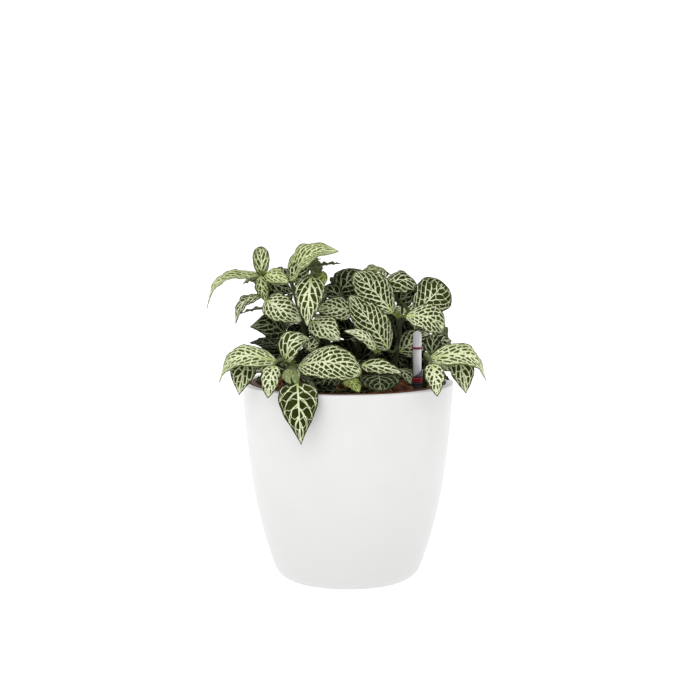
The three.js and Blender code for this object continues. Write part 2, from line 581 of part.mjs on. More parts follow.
function culturePot() {
  const rimFoot = CULTURE_TOP - CULTURE_RIM_HEIGHT;
  const floorTop = CULTURE_BOTTOM + CULTURE_WALL;
  let pot = solid(turned([
    [0, CULTURE_BOTTOM],
    [CULTURE_BOTTOM_RADIUS, CULTURE_BOTTOM],
    [cultureRadius(rimFoot - CULTURE_RIM_SLOPE), rimFoot - CULTURE_RIM_SLOPE],
    [CULTURE_RIM_RADIUS, rimFoot],
    [CULTURE_RIM_RADIUS, CULTURE_TOP],
    [CULTURE_TOP_RADIUS - CULTURE_WALL, CULTURE_TOP],
    [cultureRadius(floorTop) - CULTURE_WALL, floorTop],
    [0, floorTop],
  ], CULTURE_SEGMENTS));
  for (let i = 0; i < CULTURE_FEET; i += 1) {
    const angle = (2 * Math.PI * (i + 0.5)) / CULTURE_FEET;
    const [x, y] = [CULTURE_FOOT_CIRCLE * Math.cos(angle), CULTURE_FOOT_CIRCLE * Math.sin(angle)];
    const footBottom = PLANTER_FLOOR + RUNNING_GAP;
    pot = pot.add(solid(post(x, y, footBottom, CULTURE_BOTTOM + 0.8, CULTURE_FOOT_RADIUS, 12)));
  }
  for (let i = 0; i < CULTURE_SLOTS; i += 1) {
    const slot = new THREE.BoxGeometry(CULTURE_BOTTOM_RADIUS, CULTURE_SLOT_WIDTH, CULTURE_SLOT_HEIGHT);
    const reach = CULTURE_BOTTOM_RADIUS / 2 + CULTURE_BOTTOM_RADIUS - CULTURE_WALL * 4;
    slot.translate(reach, 0, CULTURE_BOTTOM + CULTURE_SLOT_RISE + CULTURE_SLOT_HEIGHT / 2);
    slot.rotateZ((2 * Math.PI * (i + 0.5)) / CULTURE_SLOTS);
    pot = pot.subtract(solid(slot));
  }
  return pot;
}

// Clay granules: a bed that fills the culture pot, with loose pebbles fused to its top.

function granules() {
  const draw = seededDraw(11);
  const clearance = CULTURE_WALL + RUNNING_GAP;
  const bedBottom = CULTURE_BOTTOM + CULTURE_WALL + RUNNING_GAP;
  const bedRadius = cultureRadius(GRANULE_BED_TOP) - clearance - 0.2;
  const pieces = [solid(turned([
    [0, bedBottom],
    [cultureRadius(bedBottom) - clearance - 0.2, bedBottom],
    [bedRadius, GRANULE_BED_TOP],
    [0, GRANULE_BED_TOP],
  ], CULTURE_SEGMENTS))];
  const spiral = Math.PI * (3 - Math.sqrt(5));
  for (let i = 0; i < GRANULE_COUNT; i += 1) {
    const size = GRANULE_RADIUS * (0.8 + 0.35 * draw());
    const distance = (bedRadius - 1.25 * GRANULE_RADIUS) * Math.sqrt((i + 0.5) / GRANULE_COUNT);
    const [x, y] = [distance * Math.cos(spiral * i), distance * Math.sin(spiral * i)];
    const pebble = new THREE.IcosahedronGeometry(size, 0);
    pebble.scale(1, 0.8 + 0.2 * draw(), 0.85);
    pebble.rotateX(3 * draw());
    pebble.rotateZ(6 * draw());
    pebble.translate(x, y, GRANULE_BED_TOP + draw());
    pieces.push(solid(pebble));
  }
  let bed = wasm.Manifold.union(pieces);
  const holeTop = GRANULE_BED_TOP + 3 * GRANULE_RADIUS;
  for (const { root: [x, y], radius } of SHOOTS) {
    const hole = post(x, y, GRANULE_BED_TOP - STEM_HOLE_DEPTH, holeTop, radius + 3 * RUNNING_GAP, 8);
    bed = bed.subtract(solid(hole));
  }
  const shaft = INDICATOR_HOUSING_RADIUS + 2 * RUNNING_GAP;
  const shaftBottom = INDICATOR_BOTTOM - RUNNING_GAP;
  return bed.subtract(solid(post(INDICATOR_X, INDICATOR_Y, shaftBottom, holeTop, shaft, INDICATOR_SIDES)));
}

// Water-level indicator: a housing in the granules, a collar, a clear tube with a mark, and a
// float whose needle rises in the tube.

function atIndicator(points, sides) {
  return turned(points, sides).translate(INDICATOR_X, INDICATOR_Y, 0);
}

function indicatorHousing() {
  const floor = INDICATOR_BOTTOM + INDICATOR_HOUSING_FLOOR;
  let housing = solid(atIndicator([
    [0, INDICATOR_BOTTOM],
    [INDICATOR_HOUSING_RADIUS, INDICATOR_BOTTOM],
    [INDICATOR_HOUSING_RADIUS, INDICATOR_HOUSING_TOP - 1],
    [INDICATOR_HOUSING_RADIUS - 0.6, INDICATOR_HOUSING_TOP],
    [NEEDLE_BORE, INDICATOR_HOUSING_TOP],
    [NEEDLE_BORE, INDICATOR_HOUSING_TOP - 2],
    [INDICATOR_HOUSING_BORE, INDICATOR_HOUSING_TOP - 3],
    [INDICATOR_HOUSING_BORE, floor],
    [0, floor],
  ], INDICATOR_SIDES));
  for (const turn of [0, Math.PI / 2]) {
    const inlet = new THREE.BoxGeometry(4 * INDICATOR_HOUSING_RADIUS, 1.6, 10);
    inlet.rotateZ(turn).translate(INDICATOR_X, INDICATOR_Y, floor + 6);
    housing = housing.subtract(solid(inlet));
  }
  return housing;
}

// The collar's shroud stands round the tube's foot and is cut off obliquely, higher at the right.
function indicatorCollar() {
  const bottom = INDICATOR_HOUSING_TOP + RUNNING_GAP;
  const bore = INDICATOR_TUBE_RADIUS + RUNNING_GAP;
  const collar = solid(atIndicator([
    [NEEDLE_BORE, bottom],
    [INDICATOR_COLLAR_RADIUS, bottom],
    [INDICATOR_COLLAR_RADIUS, INDICATOR_SHROUD_TOP],
    [bore, INDICATOR_SHROUD_TOP],
    [bore, INDICATOR_COLLAR_TOP],
    [NEEDLE_BORE, INDICATOR_COLLAR_TOP],
    [NEEDLE_BORE, bottom],
  ], INDICATOR_SIDES));
  const knife = new THREE.BoxGeometry(40, 40, 20).translate(0, 0, 10);
  knife.rotateY(-Math.atan(INDICATOR_SHROUD_SLOPE));
  knife.translate(INDICATOR_X + INDICATOR_COLLAR_RADIUS, INDICATOR_Y, INDICATOR_SHROUD_TOP);
  return collar.subtract(solid(knife));
}

function indicatorTube() {
  const bottom = INDICATOR_COLLAR_TOP + RUNNING_GAP;
  const shoulder = INDICATOR_TUBE_TOP - INDICATOR_TUBE_RADIUS;
  const boreTop = shoulder - 0.5;
  return solid(atIndicator([
    [INDICATOR_TUBE_BORE, bottom],
    [INDICATOR_TUBE_RADIUS, bottom],
    [INDICATOR_TUBE_RADIUS, shoulder - 4],
    [INDICATOR_TUBE_RADIUS - 0.3, shoulder],
    [INDICATOR_TUBE_RADIUS * 0.62, INDICATOR_TUBE_TOP - 0.7],
    [0, INDICATOR_TUBE_TOP],
    [0, boreTop + 1.2],
    [INDICATOR_TUBE_BORE * 0.8, boreTop],
    [INDICATOR_TUBE_BORE, boreTop - 2],
    [INDICATOR_TUBE_BORE, bottom],
  ], INDICATOR_SIDES));
}

function indicatorMark() {
  const [low, high] = [-0.5, 0.5].map((end) => INDICATOR_MARK_HEIGHT + end * INDICATOR_MARK_WIDTH);
  const bore = INDICATOR_TUBE_RADIUS + RUNNING_GAP;
  return solid(atIndicator([
    [bore, low],
    [INDICATOR_MARK_RADIUS, low],
    [INDICATOR_MARK_RADIUS, high],
    [bore, high],
    [bore, low],
  ], INDICATOR_SIDES));
}

function indicatorFloat() {
  const bottom = INDICATOR_BOTTOM + INDICATOR_HOUSING_FLOOR + RUNNING_GAP;
  const top = bottom + FLOAT_LENGTH;
  return solid(atIndicator([
    [0, bottom],
    [FLOAT_RADIUS - 0.5, bottom],
    [FLOAT_RADIUS, bottom + 1],
    [FLOAT_RADIUS, top - 1.5],
    [NEEDLE_RADIUS, top],
    [NEEDLE_RADIUS, NEEDLE_TOP - 0.5],
    [0, NEEDLE_TOP],
  ], INDICATOR_SIDES));
}

// The object.

const group = new THREE.Group();
group.name = 'potted_nerve_plant';

function place(name, manifold, colour, roughness, metalness = 0) {
  const material = new THREE.MeshStandardMaterial({ color: colour, roughness, metalness });
  const mesh = new THREE.Mesh(surface(manifold), material);
  mesh.name = name;
  group.add(mesh);
}

place('planter', solid(turned(planterProfile(), PLANTER_SEGMENTS)), 0xeceae8, 0.35);
place('culture_pot', culturePot(), 0x5b3a26, 0.55);
place('granules', granules(), 0x9a5a34, 0.95);
place('indicator_housing', indicatorHousing(), 0x1d1f26, 0.45);
place('indicator_collar', indicatorCollar(), 0xa02430, 0.4);
place('indicator_tube', indicatorTube(), 0xb4b4bf, 0.15);
place('indicator_mark', indicatorMark(), 0x8c3b52, 0.5);
place('indicator_float', indicatorFloat(), 0xc23a3a, 0.5);
for (const shoot of SHOOTS) place(shoot.name, shootSolid(shoot), shoot.colour, 0.6);

export default group;
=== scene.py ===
"""Potted nerve plant: the looks of the mosaic plant, its clay pebbles and its white planter.

Sizes and places are in millimetres until a mesh is made, which is in metres. The origin is the
centre of the planter's foot, +Z is up, and the front looks along -Y.
"""

import math

import bmesh
import bpy
import numpy as np
from mathutils import Matrix, Quaternion, Vector, noise


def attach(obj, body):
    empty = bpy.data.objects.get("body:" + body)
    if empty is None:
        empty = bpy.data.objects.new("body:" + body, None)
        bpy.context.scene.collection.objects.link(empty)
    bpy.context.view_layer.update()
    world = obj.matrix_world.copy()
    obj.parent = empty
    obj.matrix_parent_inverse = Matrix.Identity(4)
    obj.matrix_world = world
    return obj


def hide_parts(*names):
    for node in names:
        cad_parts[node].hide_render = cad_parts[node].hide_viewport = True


MM = 0.001

# The photograph's camera, and where the pot's axis stands in the picture.
EYE_DISTANCE = 1400
EYE_HEIGHT = 315
PITCH_DEGREES = 6.607
PICTURE_SIZE = 700
FOCAL_PIXELS = 2132.3
AXIS_PIXEL = 347.8
SENSOR = 36

FLOOR_REACH = 3000

# Planter.
PLANTER_HEIGHT = 132
PLANTER_RIM_RADIUS = 70
PLANTER_LINEAR_TAPER = 9.5
PLANTER_CUBIC_TAPER = 15.6
PLANTER_FOOT_ROUNDING = 9
PLANTER_WALL = 3
PLANTER_LIP_WIDTH = 5
PLANTER_LIP_DEPTH = 7
PLANTER_FLOOR = 3
PLANTER_EDGE = 0.9
PLANTER_CORNER = 6

# Culture pot.
CULTURE_RIM_RADIUS = 63.8
CULTURE_TOP_RADIUS = 62.2
CULTURE_BOTTOM_RADIUS = 44.5
CULTURE_WALL = 1.6
CULTURE_TOP = 132.2
CULTURE_RIM_HEIGHT = 5
CULTURE_BOTTOM = 14
CULTURE_FOOT_RADIUS = 5
CULTURE_FOOT_REACH = 30

# Clay pebbles.
BED_TOP = 123
BED_GAP = 2.1
STEM_HOLE_DEPTH = 24
STEM_FOOT_HEIGHT = 5.12
RUNNING_GAP = 0.3

# The pebbles' smallest and largest size, and for each layer how many it may have, between which
# heights their middles lie and how near they stand, as a share of their sizes.
PEBBLE_SIZES = (3.0, 4.6)
PEBBLE_LAYERS = ((230, 124.0, 126.5, 0.82), (70, 127.6, 129.2, 0.9))
PEBBLE_TRIES = 20000
PEBBLE_SEED = 11

# How far the pebbles stay from the middle of a stem and of the indicator.
STEM_CLEARANCE = 2.2
INDICATOR_CLEARANCE = 5.2

# Water-level indicator.
INDICATOR_X = 45.9
COLLAR_BOTTOM = 131.5
COLLAR_TOP = 139.5
COLLAR_RADIUS = 3.9
COLLAR_BORE = 3.1

# Leaves.
MARGIN_WAVES = 3
PETIOLE_BEND = 0.45
SHORTEST_PETIOLE = 2.6
MIRROR_SUM = 6.3
MIRROR_LIFT = 1.2
SHORT_LEAF = 14
LONG_LEAF = 30
BLADE_EDGE = 0.1
BLADE_SWELL = 0.13
QUILT_HEIGHT = 0.4
HAIR_RADIUS = 0.055
SEED_STEP = 1.7
SHAPE = dict(arch=3, peak=0.5, sweep=0, fold=0.15, curl=0.1, wave=0.6, belly=0.38, point=1)

# Two ways that many leaves between the others face. Most of them are dark leaves in painted
# shade, put in to fill the gaps where the plant stands in deep shadow.
UPRIGHT = (0, -0.9, 0.4)
LEANING = (0, -0.88, 0.48)

# The way a leaf looks. slope says how steeply its side veins run towards the tip, spacing is the
# distance between them along the midrib of a leaf 35 mm long, tie the distance between the ties
# that join them, main and thin how wide both are, all in millimetres. bend is how far the side
# veins turn near the margin, and jitter how uneven the cells between the veins are. youth turns
# the blade yellow-green, pallor spreads the cream of the veins, and shade is painted shade: it
# darkens the cells and greys the veins of leaves that stand in the plant's shadow.
LOOK_VALUES = ("slope", "spacing", "tie", "main", "thin", "bend", "jitter", "youth", "pallor",
               "shade")
LOOKS = {
    "bright": (1.5, 5.8, 3.5, 1.22, 0.84, 0.10, 0.52, 0.03, 0.06, 0.0),
    "washed": (1.7, 5.6, 3.7, 1.40, 1.00, 0.10, 0.52, 0.10, 0.20, 0.0),
    "netted": (1.4, 5.7, 3.9, 0.84, 0.42, 0.14, 0.54, 0.00, 0.03, 0.05),
    "ribbed": (2.0, 9.0, 5.2, 1.30, 0.66, 0.08, 0.50, 0.03, 0.03, 0.0),
    "striped": (2.1, 7.4, 5.0, 1.05, 0.52, 0.10, 0.55, 0.10, 0.08, 0.05),
    "open": (0.9, 7.8, 5.2, 1.04, 0.50, 0.10, 0.44, 0.00, 0.00, 0.0),
    "veined": (1.0, 6.0, 4.3, 0.85, 0.38, 0.20, 0.54, 0.00, 0.00, 0.05),
    "pale": (1.9, 5.8, 3.8, 0.95, 0.58, 0.16, 0.56, 0.20, 0.22, 0.0),
    "young": (1.2, 5.4, 3.8, 0.95, 0.60, 0.20, 0.56, 0.62, 0.05, 0.0),
    "olive": (1.3, 5.2, 3.6, 0.60, 0.36, 0.20, 0.60, 0.16, 0.00, 0.2),
    "stipule": (1.3, 6.0, 4.4, 0.30, 0.02, 0.20, 0.60, 0.00, 0.65, 0.1),
    # dim, dark, shade and tip are painted shade: dark cells and thin grey veins for leaves deep in
    # the plant's shadow.
    "dim": (1.2, 6.0, 4.4, 0.80, 0.38, 0.20, 0.54, 0.00, 0.00, 0.45),
    "dark": (1.1, 6.6, 5.0, 0.72, 0.32, 0.20, 0.54, 0.00, 0.00, 0.72),
    "shade": (1.1, 6.6, 5.0, 0.34, 0.18, 0.20, 0.60, 0.00, 0.00, 1.0),
    "tip": (1.1, 6.2, 4.4, 0.26, 0.12, 0.20, 0.60, 0.00, 0.00, 0.9),
    "bud": (1.2, 3.6, 2.6, 0.50, 0.30, 0.20, 0.60, 1.00, 0.20, 0.0),
}


def seen(place):
    """A place [x, z, y] that is read in the upright plane through the axis, at depth y."""
    x, z, y = place
    scale = (EYE_DISTANCE + y) / EYE_DISTANCE
    return np.array([x * scale, y, EYE_HEIGHT + (z - EYE_HEIGHT) * scale])


def leaf(name, base, tip, width, facing, look, **shape):
    """A leaf that the front view shows, from its base to its tip as they are seen."""
    ends = dict(base=seen(base), tip=seen(tip), places=(base, tip))
    return dict(SHAPE, name=name, width=width, facing=facing, look=look) | ends | shape


def hidden(name, base, turn, length, width, rise, arch, look):
    """A leaf that the front view hides, by the turn round its stem from +X."""
    angle = math.radians(turn)
    way = np.array([math.cos(angle), math.sin(angle), 0])
    run = way * math.sqrt(length * length - rise * rise) + (0, 0, rise)
    ends = dict(base=np.array(base, float), tip=base + run)
    row = dict(name=name, width=width, facing=way * 0.35 + (0, 0, 0.94), look=look)
    return SHAPE | row | ends | dict(arch=arch, peak=0.45)


def mirrored(row):
    """The same leaf on the other side of the plant."""
    base, tip = ((MIRROR_SUM - x, z + MIRROR_LIFT, y) for x, z, y in row["places"])
    fx, fy, fz = row["facing"]
    return row | dict(name=row["name"] + "_mirrored", base=seen(base), tip=seen(tip),
                      facing=(-fx, fy, fz), sweep=-row["sweep"])


# The leaves named shade, gap, under, inner, side_dark and dark_edge are dark fillers in painted
# shade, set where the plant's inside is in deep shadow.
# Leaf rows: name, base, tip, width, the way the upper side faces, the look, and the shape.
LOW_SIDE_LEAVES = [
    leaf("side_long", (-47, 145, -40), (-85.2, 131, -30), 18.5, (-0.15, -0.68, 0.72),
         "washed", arch=16.5, peak=0.49, point=1.25),
    leaf("side_hanging", (-66, 147, -36), (-72, 122.4, -42), 18.5, (-0.25, -0.95, 0.2),
         "ribbed", fold=0.25, belly=0.3, point=1.1),
    leaf("side_fill", (-51.5, 144, -42), (-61.5, 137.5, -46), 7, (-0.1, -0.9, 0.3),
         "netted", arch=1),
    leaf("side_short", (-49, 142, -50), (-53, 120.5, -61), 13.5, (-0.1, -0.9, 0.35),
         "bright", arch=3.5, peak=0.4, fold=0.3),
    leaf("side_tip", (-53, 135, -44), (-60.8, 131.6, -47), 5, (0, -0.5, 0.86), "tip", arch=1),
    leaf("side_dark", (-44, 155, -26), (-65, 157.5, -24), 11, (0, -0.5, 0.86), "shade", arch=2),
]

FRONT_LEFT_LEAVES = [
    *LOW_SIDE_LEAVES,
    leaf("upright", (-41, 145.5, -44), (-24.5, 160, -38), 19, (-0.4, -0.8, 0.4),
         "ribbed", arch=11.5, fold=0.3),
    leaf("bright", (-33, 142, -48), (9.5, 137, -60), 26, (0.1, -0.8, 0.6),
         "bright", arch=9, peak=0.52, belly=0.48, point=0.85),
    leaf("drooping", (-33.2, 130, -59), (-31, 89, -78), 26, (0, -0.97, 0.25),
         "open", arch=8, peak=0.32, belly=0.27, point=1.1, fold=0.05),
    leaf("stipule", (-40.5, 139.5, -50), (-37.5, 130, -58), 7.5, (-0.5, -0.85, 0.2),
         "stipule", arch=1, fold=0.5),
    leaf("stipule_right", (-36, 139.5, -50), (-34.5, 129.5, -60), 8, (0.2, -0.95, 0.2),
         "stipule", arch=1, fold=0.5),
    leaf("under", (-36, 137, -46), (-41, 127, -45), 9, UPRIGHT, "shade", arch=1),
    leaf("young", (-34, 137, -46), (-20, 126, -60), 7, (0.3, -0.7, 0.6), "dark", arch=2),
    hidden("back", (-36, -30, 141), 108, 26, 18, 2, 3, "netted"),
]

FRONT_RIGHT_LEAVES = [
    *(mirrored(row) for row in LOW_SIDE_LEAVES if row["name"] != "side_dark"),
    leaf("netted", (55.5, 150.5, -35), (57, 164, -28), 12, (-0.1, -0.9, 0.4), "dark"),
    leaf("dark", (54.5, 156, -27), (68.5, 159, -20), 11, (0, -0.9, 0.45), "dim"),
    hidden("back", (54, -27, 142), 40, 20, 14, 2, 3, "netted"),
]

UPPER_LEFT_LEAVES = [
    leaf("crown", (-56.5, 201, 0), (-57.3, 221.3, 4), 11.8, (0, -0.95, 0.3),
         "striped", arch=1, fold=0.3, belly=0.48, point=0.7, wave=1.4),
    leaf("crown_fold", (-57.5, 202, -5), (-53.5, 184.5, -7), 10, (-0.4, -0.85, 0.3),
         "olive", arch=2),
    leaf("long_arching", (-57, 202.5, 2), (-93, 180, -4), 15, (-0.3, -0.42, 0.86),
         "pale", arch=12, peak=0.58, point=1.5, fold=0.35),
    leaf("crown_right", (-54.5, 202.5, -3), (-38.5, 197, -9), 13, (0.1, -0.8, 0.6), "pale"),
    leaf("crown_under", (-54, 198, 1), (-36.5, 191, 2), 12, UPRIGHT, "dim", arch=2),
    leaf("crown_left", (-58, 201, 6), (-69, 196.5, 9), 9, (-0.5, -0.4, 0.75), "olive", arch=2),
    leaf("turned", (-55, 192, 5), (-67, 201, 11), 12, (-0.4, 0.6, 0.7), "netted"),
    leaf("curved", (-57, 189, -4), (-74, 170, -9), 12, (-0.42, -0.55, 0.72),
         "netted", arch=7, point=1.2),
    leaf("netted", (-54, 186.5, -6), (-30, 171.5, -15), 21, (0.1, -0.85, 0.5),
         "bright", arch=6, sweep=3),
    leaf("level", (-53, 181, 9), (-70.5, 177, 4), 13, (0, 0.13, 0.99), "dim", arch=1, wave=1.3),
    leaf("dark", (-41, 163.5, 0), (-65, 168, -7), 22.5, (-0.05, -0.85, 0.5),
         "dark", arch=4, sweep=2.5, point=1.3),
    leaf("shade", (-39, 153, 8), (-59, 158, 12), 17, LEANING, "shade"),
    leaf("shade_right", (-40, 160, 9), (-25, 166, 12), 14, LEANING, "shade"),
    leaf("shade_low", (-29, 147, 14), (-54, 142, 15), 19, LEANING, "shade"),
    leaf("gap", (-41, 182.5, 0), (-36.5, 190.5, 1), 6, UPRIGHT, "dark"),
    leaf("gap_left", (-53, 189, 5), (-49, 194.5, 6), 6, UPRIGHT, "dark", arch=1),
    hidden("low_left", (-36, 7, 146), 192, 26, 18, -2, 4, "dim"),
    hidden("mid_back", (-43, 9, 167), 112, 24, 16, 2, 4, "netted"),
    hidden("top_back", (-50, 6, 180), 72, 21, 14, 2, 3, "bright"),
]

UPPER_CENTRE_LEAVES = [
    leaf("tall_arching", (-38.8, 200, -4), (-6, 218, -9), 22, (-0.42, -0.62, 0.66),
         "pale", arch=9.5, peak=0.57, belly=0.33, fold=0.35, point=0.85, wave=1),
    leaf("tall_inner", (-36.5, 198, -7.5), (-25.5, 212, -5.5), 14, UPRIGHT, "netted"),
    leaf("back_dark", (-39, 200, 4), (-50, 206.5, 9), 9, (-0.2, -0.3, 0.93), "dim", arch=2.5),
    leaf("low_netted", (-24, 172, -13), (-5, 158.5, -23), 19.5, (0.25, -0.85, 0.45), "bright"),
    leaf("low_small", (-27, 153, -16), (-18, 162, -15), 10, (0.1, -0.9, 0.4), "netted"),
    hidden("low_front", (-18, -9, 139), -122, 21, 16, -2, 3, "dark"),
]

TOP_CENTRE_LEAVES = [
    leaf("hanging", (-24.3, 200.8, -12.3), (-26.8, 168, -25), 20.5, (-0.05, -0.93, 0.35),
         "ribbed", arch=4, fold=0.1, belly=0.25, point=0.9),
    leaf("young", (-19.5, 194, -2), (-20, 206, 10), 13, (0, -0.75, 0.65), "young"),
    leaf("level", (-20, 209, 2), (-4.5, 210, -2), 9, (0, 0.13, 0.99), "dark", arch=0.6, wave=1.2),
    leaf("turned", (-20, 203, 3), (-25, 214, 7), 10, (-0.1, 0.8, 0.6), "olive"),
    leaf("shade", (-10, 147, 9), (-33, 151.5, 12), 17, LEANING, "shade"),
    leaf("gap_low", (-12.5, 155, 10), (-20, 163, 11), 8, UPRIGHT, "shade"),
    leaf("gap_high", (-19, 183.5, 3.2), (-13, 191, 3), 6.5, UPRIGHT, "dark"),
    hidden("low_front", (-9, 1, 149), -92, 25, 17, -8, 5, "dark"),
    hidden("mid_back", (-15, 7, 170), 100, 22, 15, 1, 4, "netted"),
    hidden("top_back", (-21, 4, 193), 112, 22, 14, -2, 4, "bright"),
]

CENTRE_LEAVES = [
    leaf("netted", (4, 178, 0), (-22, 180, -2), 18, (0, -0.8, 0.6), "bright"),
    leaf("dark", (-6, 190, 12), (9, 206, 16), 22, (-0.05, -0.9, 0.42), "dark", fold=0.05),
    leaf("small_dark", (-4, 187, 9), (-18, 194, 9), 13, (0, -0.8, 0.6), "dark"),
    leaf("hump", (6, 198.5, 20), (28.5, 202.5, 20), 14, (0, -0.3, 0.95), "olive", arch=6.5),
    leaf("shade_left", (5, 146, 17), (-15, 156, 19), 19, LEANING, "shade"),
    leaf("shade_right", (8, 146, 17), (27, 157, 19), 18, LEANING, "shade"),
    leaf("shade_high", (4, 163, 15), (-14, 172, 16), 15, LEANING, "shade"),
    leaf("gap", (29.5, 142, 13), (26, 160, 14), 13, UPRIGHT, "shade", arch=1),
    hidden("low_front", (9, 10, 143), -78, 24, 17, -4, 4, "dark"),
    hidden("mid_back", (4, 13, 184), 70, 26, 18, -3, 5, "netted"),
    hidden("top_back", (0, 20, 196), 118, 22, 15, -4, 4, "netted"),
]

RIGHT_CENTRE_LEAVES = [
    leaf("upper", (30, 177, -12), (4, 204.5, -8), 24.5, (0, -0.85, 0.52), "netted", belly=0.52),
    leaf("long", (27, 153, -16), (0.8, 189.5, -17), 23.5, (0.05, -0.9, 0.4), "netted", belly=0.44),
    leaf("bright", (38, 175, -14), (64, 166, -12), 22, (0.05, -0.8, 0.6),
         "bright", arch=5, sweep=-2, belly=0.48, point=0.7),
    leaf("round", (44.2, 178, -4), (63.3, 197, 4), 26, (0, -0.92, 0.38),
         "veined", sweep=1.5, belly=0.48, point=0.62),
    leaf("arched", (23.5, 195.5, 3), (48, 192.5, 6), 22, (0, -0.6, 0.8),
         "veined", arch=7, curl=0.3),
    leaf("stem_shade", (35.5, 174, 16), (34, 147, 18), 16, UPRIGHT, "shade"),
    leaf("shade_low", (30.5, 149, 2), (39, 138, 6), 12, UPRIGHT, "shade"),
    leaf("gap", (31, 166.5, 7), (27.5, 180.5, 8), 9.5, UPRIGHT, "shade", arch=1),
    leaf("gap_top", (24.5, 200.5, 9), (22, 205.5, 11), 7, UPRIGHT, "netted", arch=0.5),
    leaf("inner", (33, 183, 2), (44.5, 193.5, 6), 13, UPRIGHT, "dark"),
    leaf("behind_tube", (33.5, 151.5, 5), (54, 164.5, 17), 19, (-0.1, -0.97, 0.25),
         "netted", arch=1),
    leaf("low_netted", (33, 140, -12), (42, 129.5, -31), 12, (0.1, -0.55, 0.83), "dim"),
    hidden("top_back", (29, 2, 184), 92, 24, 16, 0, 4, "netted"),
]

FRONT_CENTRE_LEAVES = [
    leaf("edge_on", (18.5, 152, -23.5), (-3, 165.5, -29), 13, (0.2, -0.6, 0.78), "bright", arch=5),
    leaf("bright", (9, 142.5, -30), (36, 137, -35), 14, (0.1, -0.65, 0.75), "ribbed", arch=2.5),
    leaf("dark_front", (20, 137, -30), (22, 125, -60), 27, (0, -0.3, 0.95),
         "dark", arch=2, belly=0.5),
    leaf("lime", (0.5, 132.4, -36), (7.5, 124.4, -59), 12.5, (-0.1, -0.4, 0.9), "young", arch=2),
    leaf("dark_left", (-4, 136.5, -37), (-26, 127, -50), 16, (-0.1, -0.85, 0.5),
         "dark", arch=2, belly=0.5),
    leaf("dark_edge", (14, 125.5, -49), (-6, 124, -51), 6.5, (0, -0.95, 0.3), "shade", arch=0.5),
    leaf("dark_edge_left", (-7, 126, -52.5), (-25, 125.8, -52), 7, (0, -0.95, 0.3),
         "shade", arch=0.5),
    hidden("back_left", (4, -24, 138), 158, 23, 16, -1, 3, "dim"),
]

BACK_LEFT_LEAVES = [
    hidden("low_left", (-31, 27, 146), 168, 34, 22, -3, 7, "netted"),
    hidden("low_right", (-22, 33, 145), 84, 35, 21, -8, 8, "netted"),
    hidden("mid_back", (-30, 32, 160), 128, 38, 24, -8, 9, "open"),
    hidden("mid_right", (-22, 28, 160), 8, 20, 14, 2, 3, "dim"),
    hidden("mid_front", (-29, 24, 168), -100, 16, 12, 3, 2, "dim"),
    hidden("top_left", (-32, 30, 173), 176, 27, 17, -2, 5, "bright"),
    hidden("top_right", (-24, 32, 174), 66, 30, 19, -2, 6, "bright"),
]

BACK_LEAVES = [
    hidden("low_left", (4, 42, 141), 112, 34, 19, -4, 6, "netted"),
    hidden("low_right", (13, 42, 141), 62, 34, 20, -4, 6, "netted"),
    hidden("droop", (8, 44, 152), 90, 40, 24, -20, 12, "open"),
    hidden("mid_left", (4, 38, 162), 172, 22, 15, 2, 4, "dim"),
    hidden("mid_right", (12, 38, 162), 8, 20, 14, 2, 4, "dim"),
    hidden("top_left", (5, 41, 176), 118, 30, 19, 0, 5, "bright"),
    hidden("top_right", (11, 41, 176), 48, 26, 17, -1, 5, "bright"),
]

BACK_RIGHT_LEAVES = [
    hidden("low_left", (39, 28, 145), 76, 36, 22, -8, 8, "netted"),
    hidden("low_right", (44, 22, 147), 2, 27, 18, -1, 5, "netted"),
    leaf("shade", (40, 141, 18), (55, 150, 14), 16, LEANING, "shade"),
    hidden("mid_back", (43, 28, 160), 46, 37, 23, -7, 9, "open"),
    hidden("mid_left", (37, 27, 162), 172, 18, 12, 3, 3, "dim"),
    hidden("top_left", (39, 29, 174), 104, 28, 18, -2, 5, "bright"),
    hidden("top_right", (44, 25, 173), 8, 17, 12, -1, 3, "bright"),
    hidden("low_front", (43, 19, 142), -32, 22, 15, -2, 4, "dim"),
    hidden("side_mid", (45, 23, 157), -2, 16, 12, -2, 3, "netted"),
]

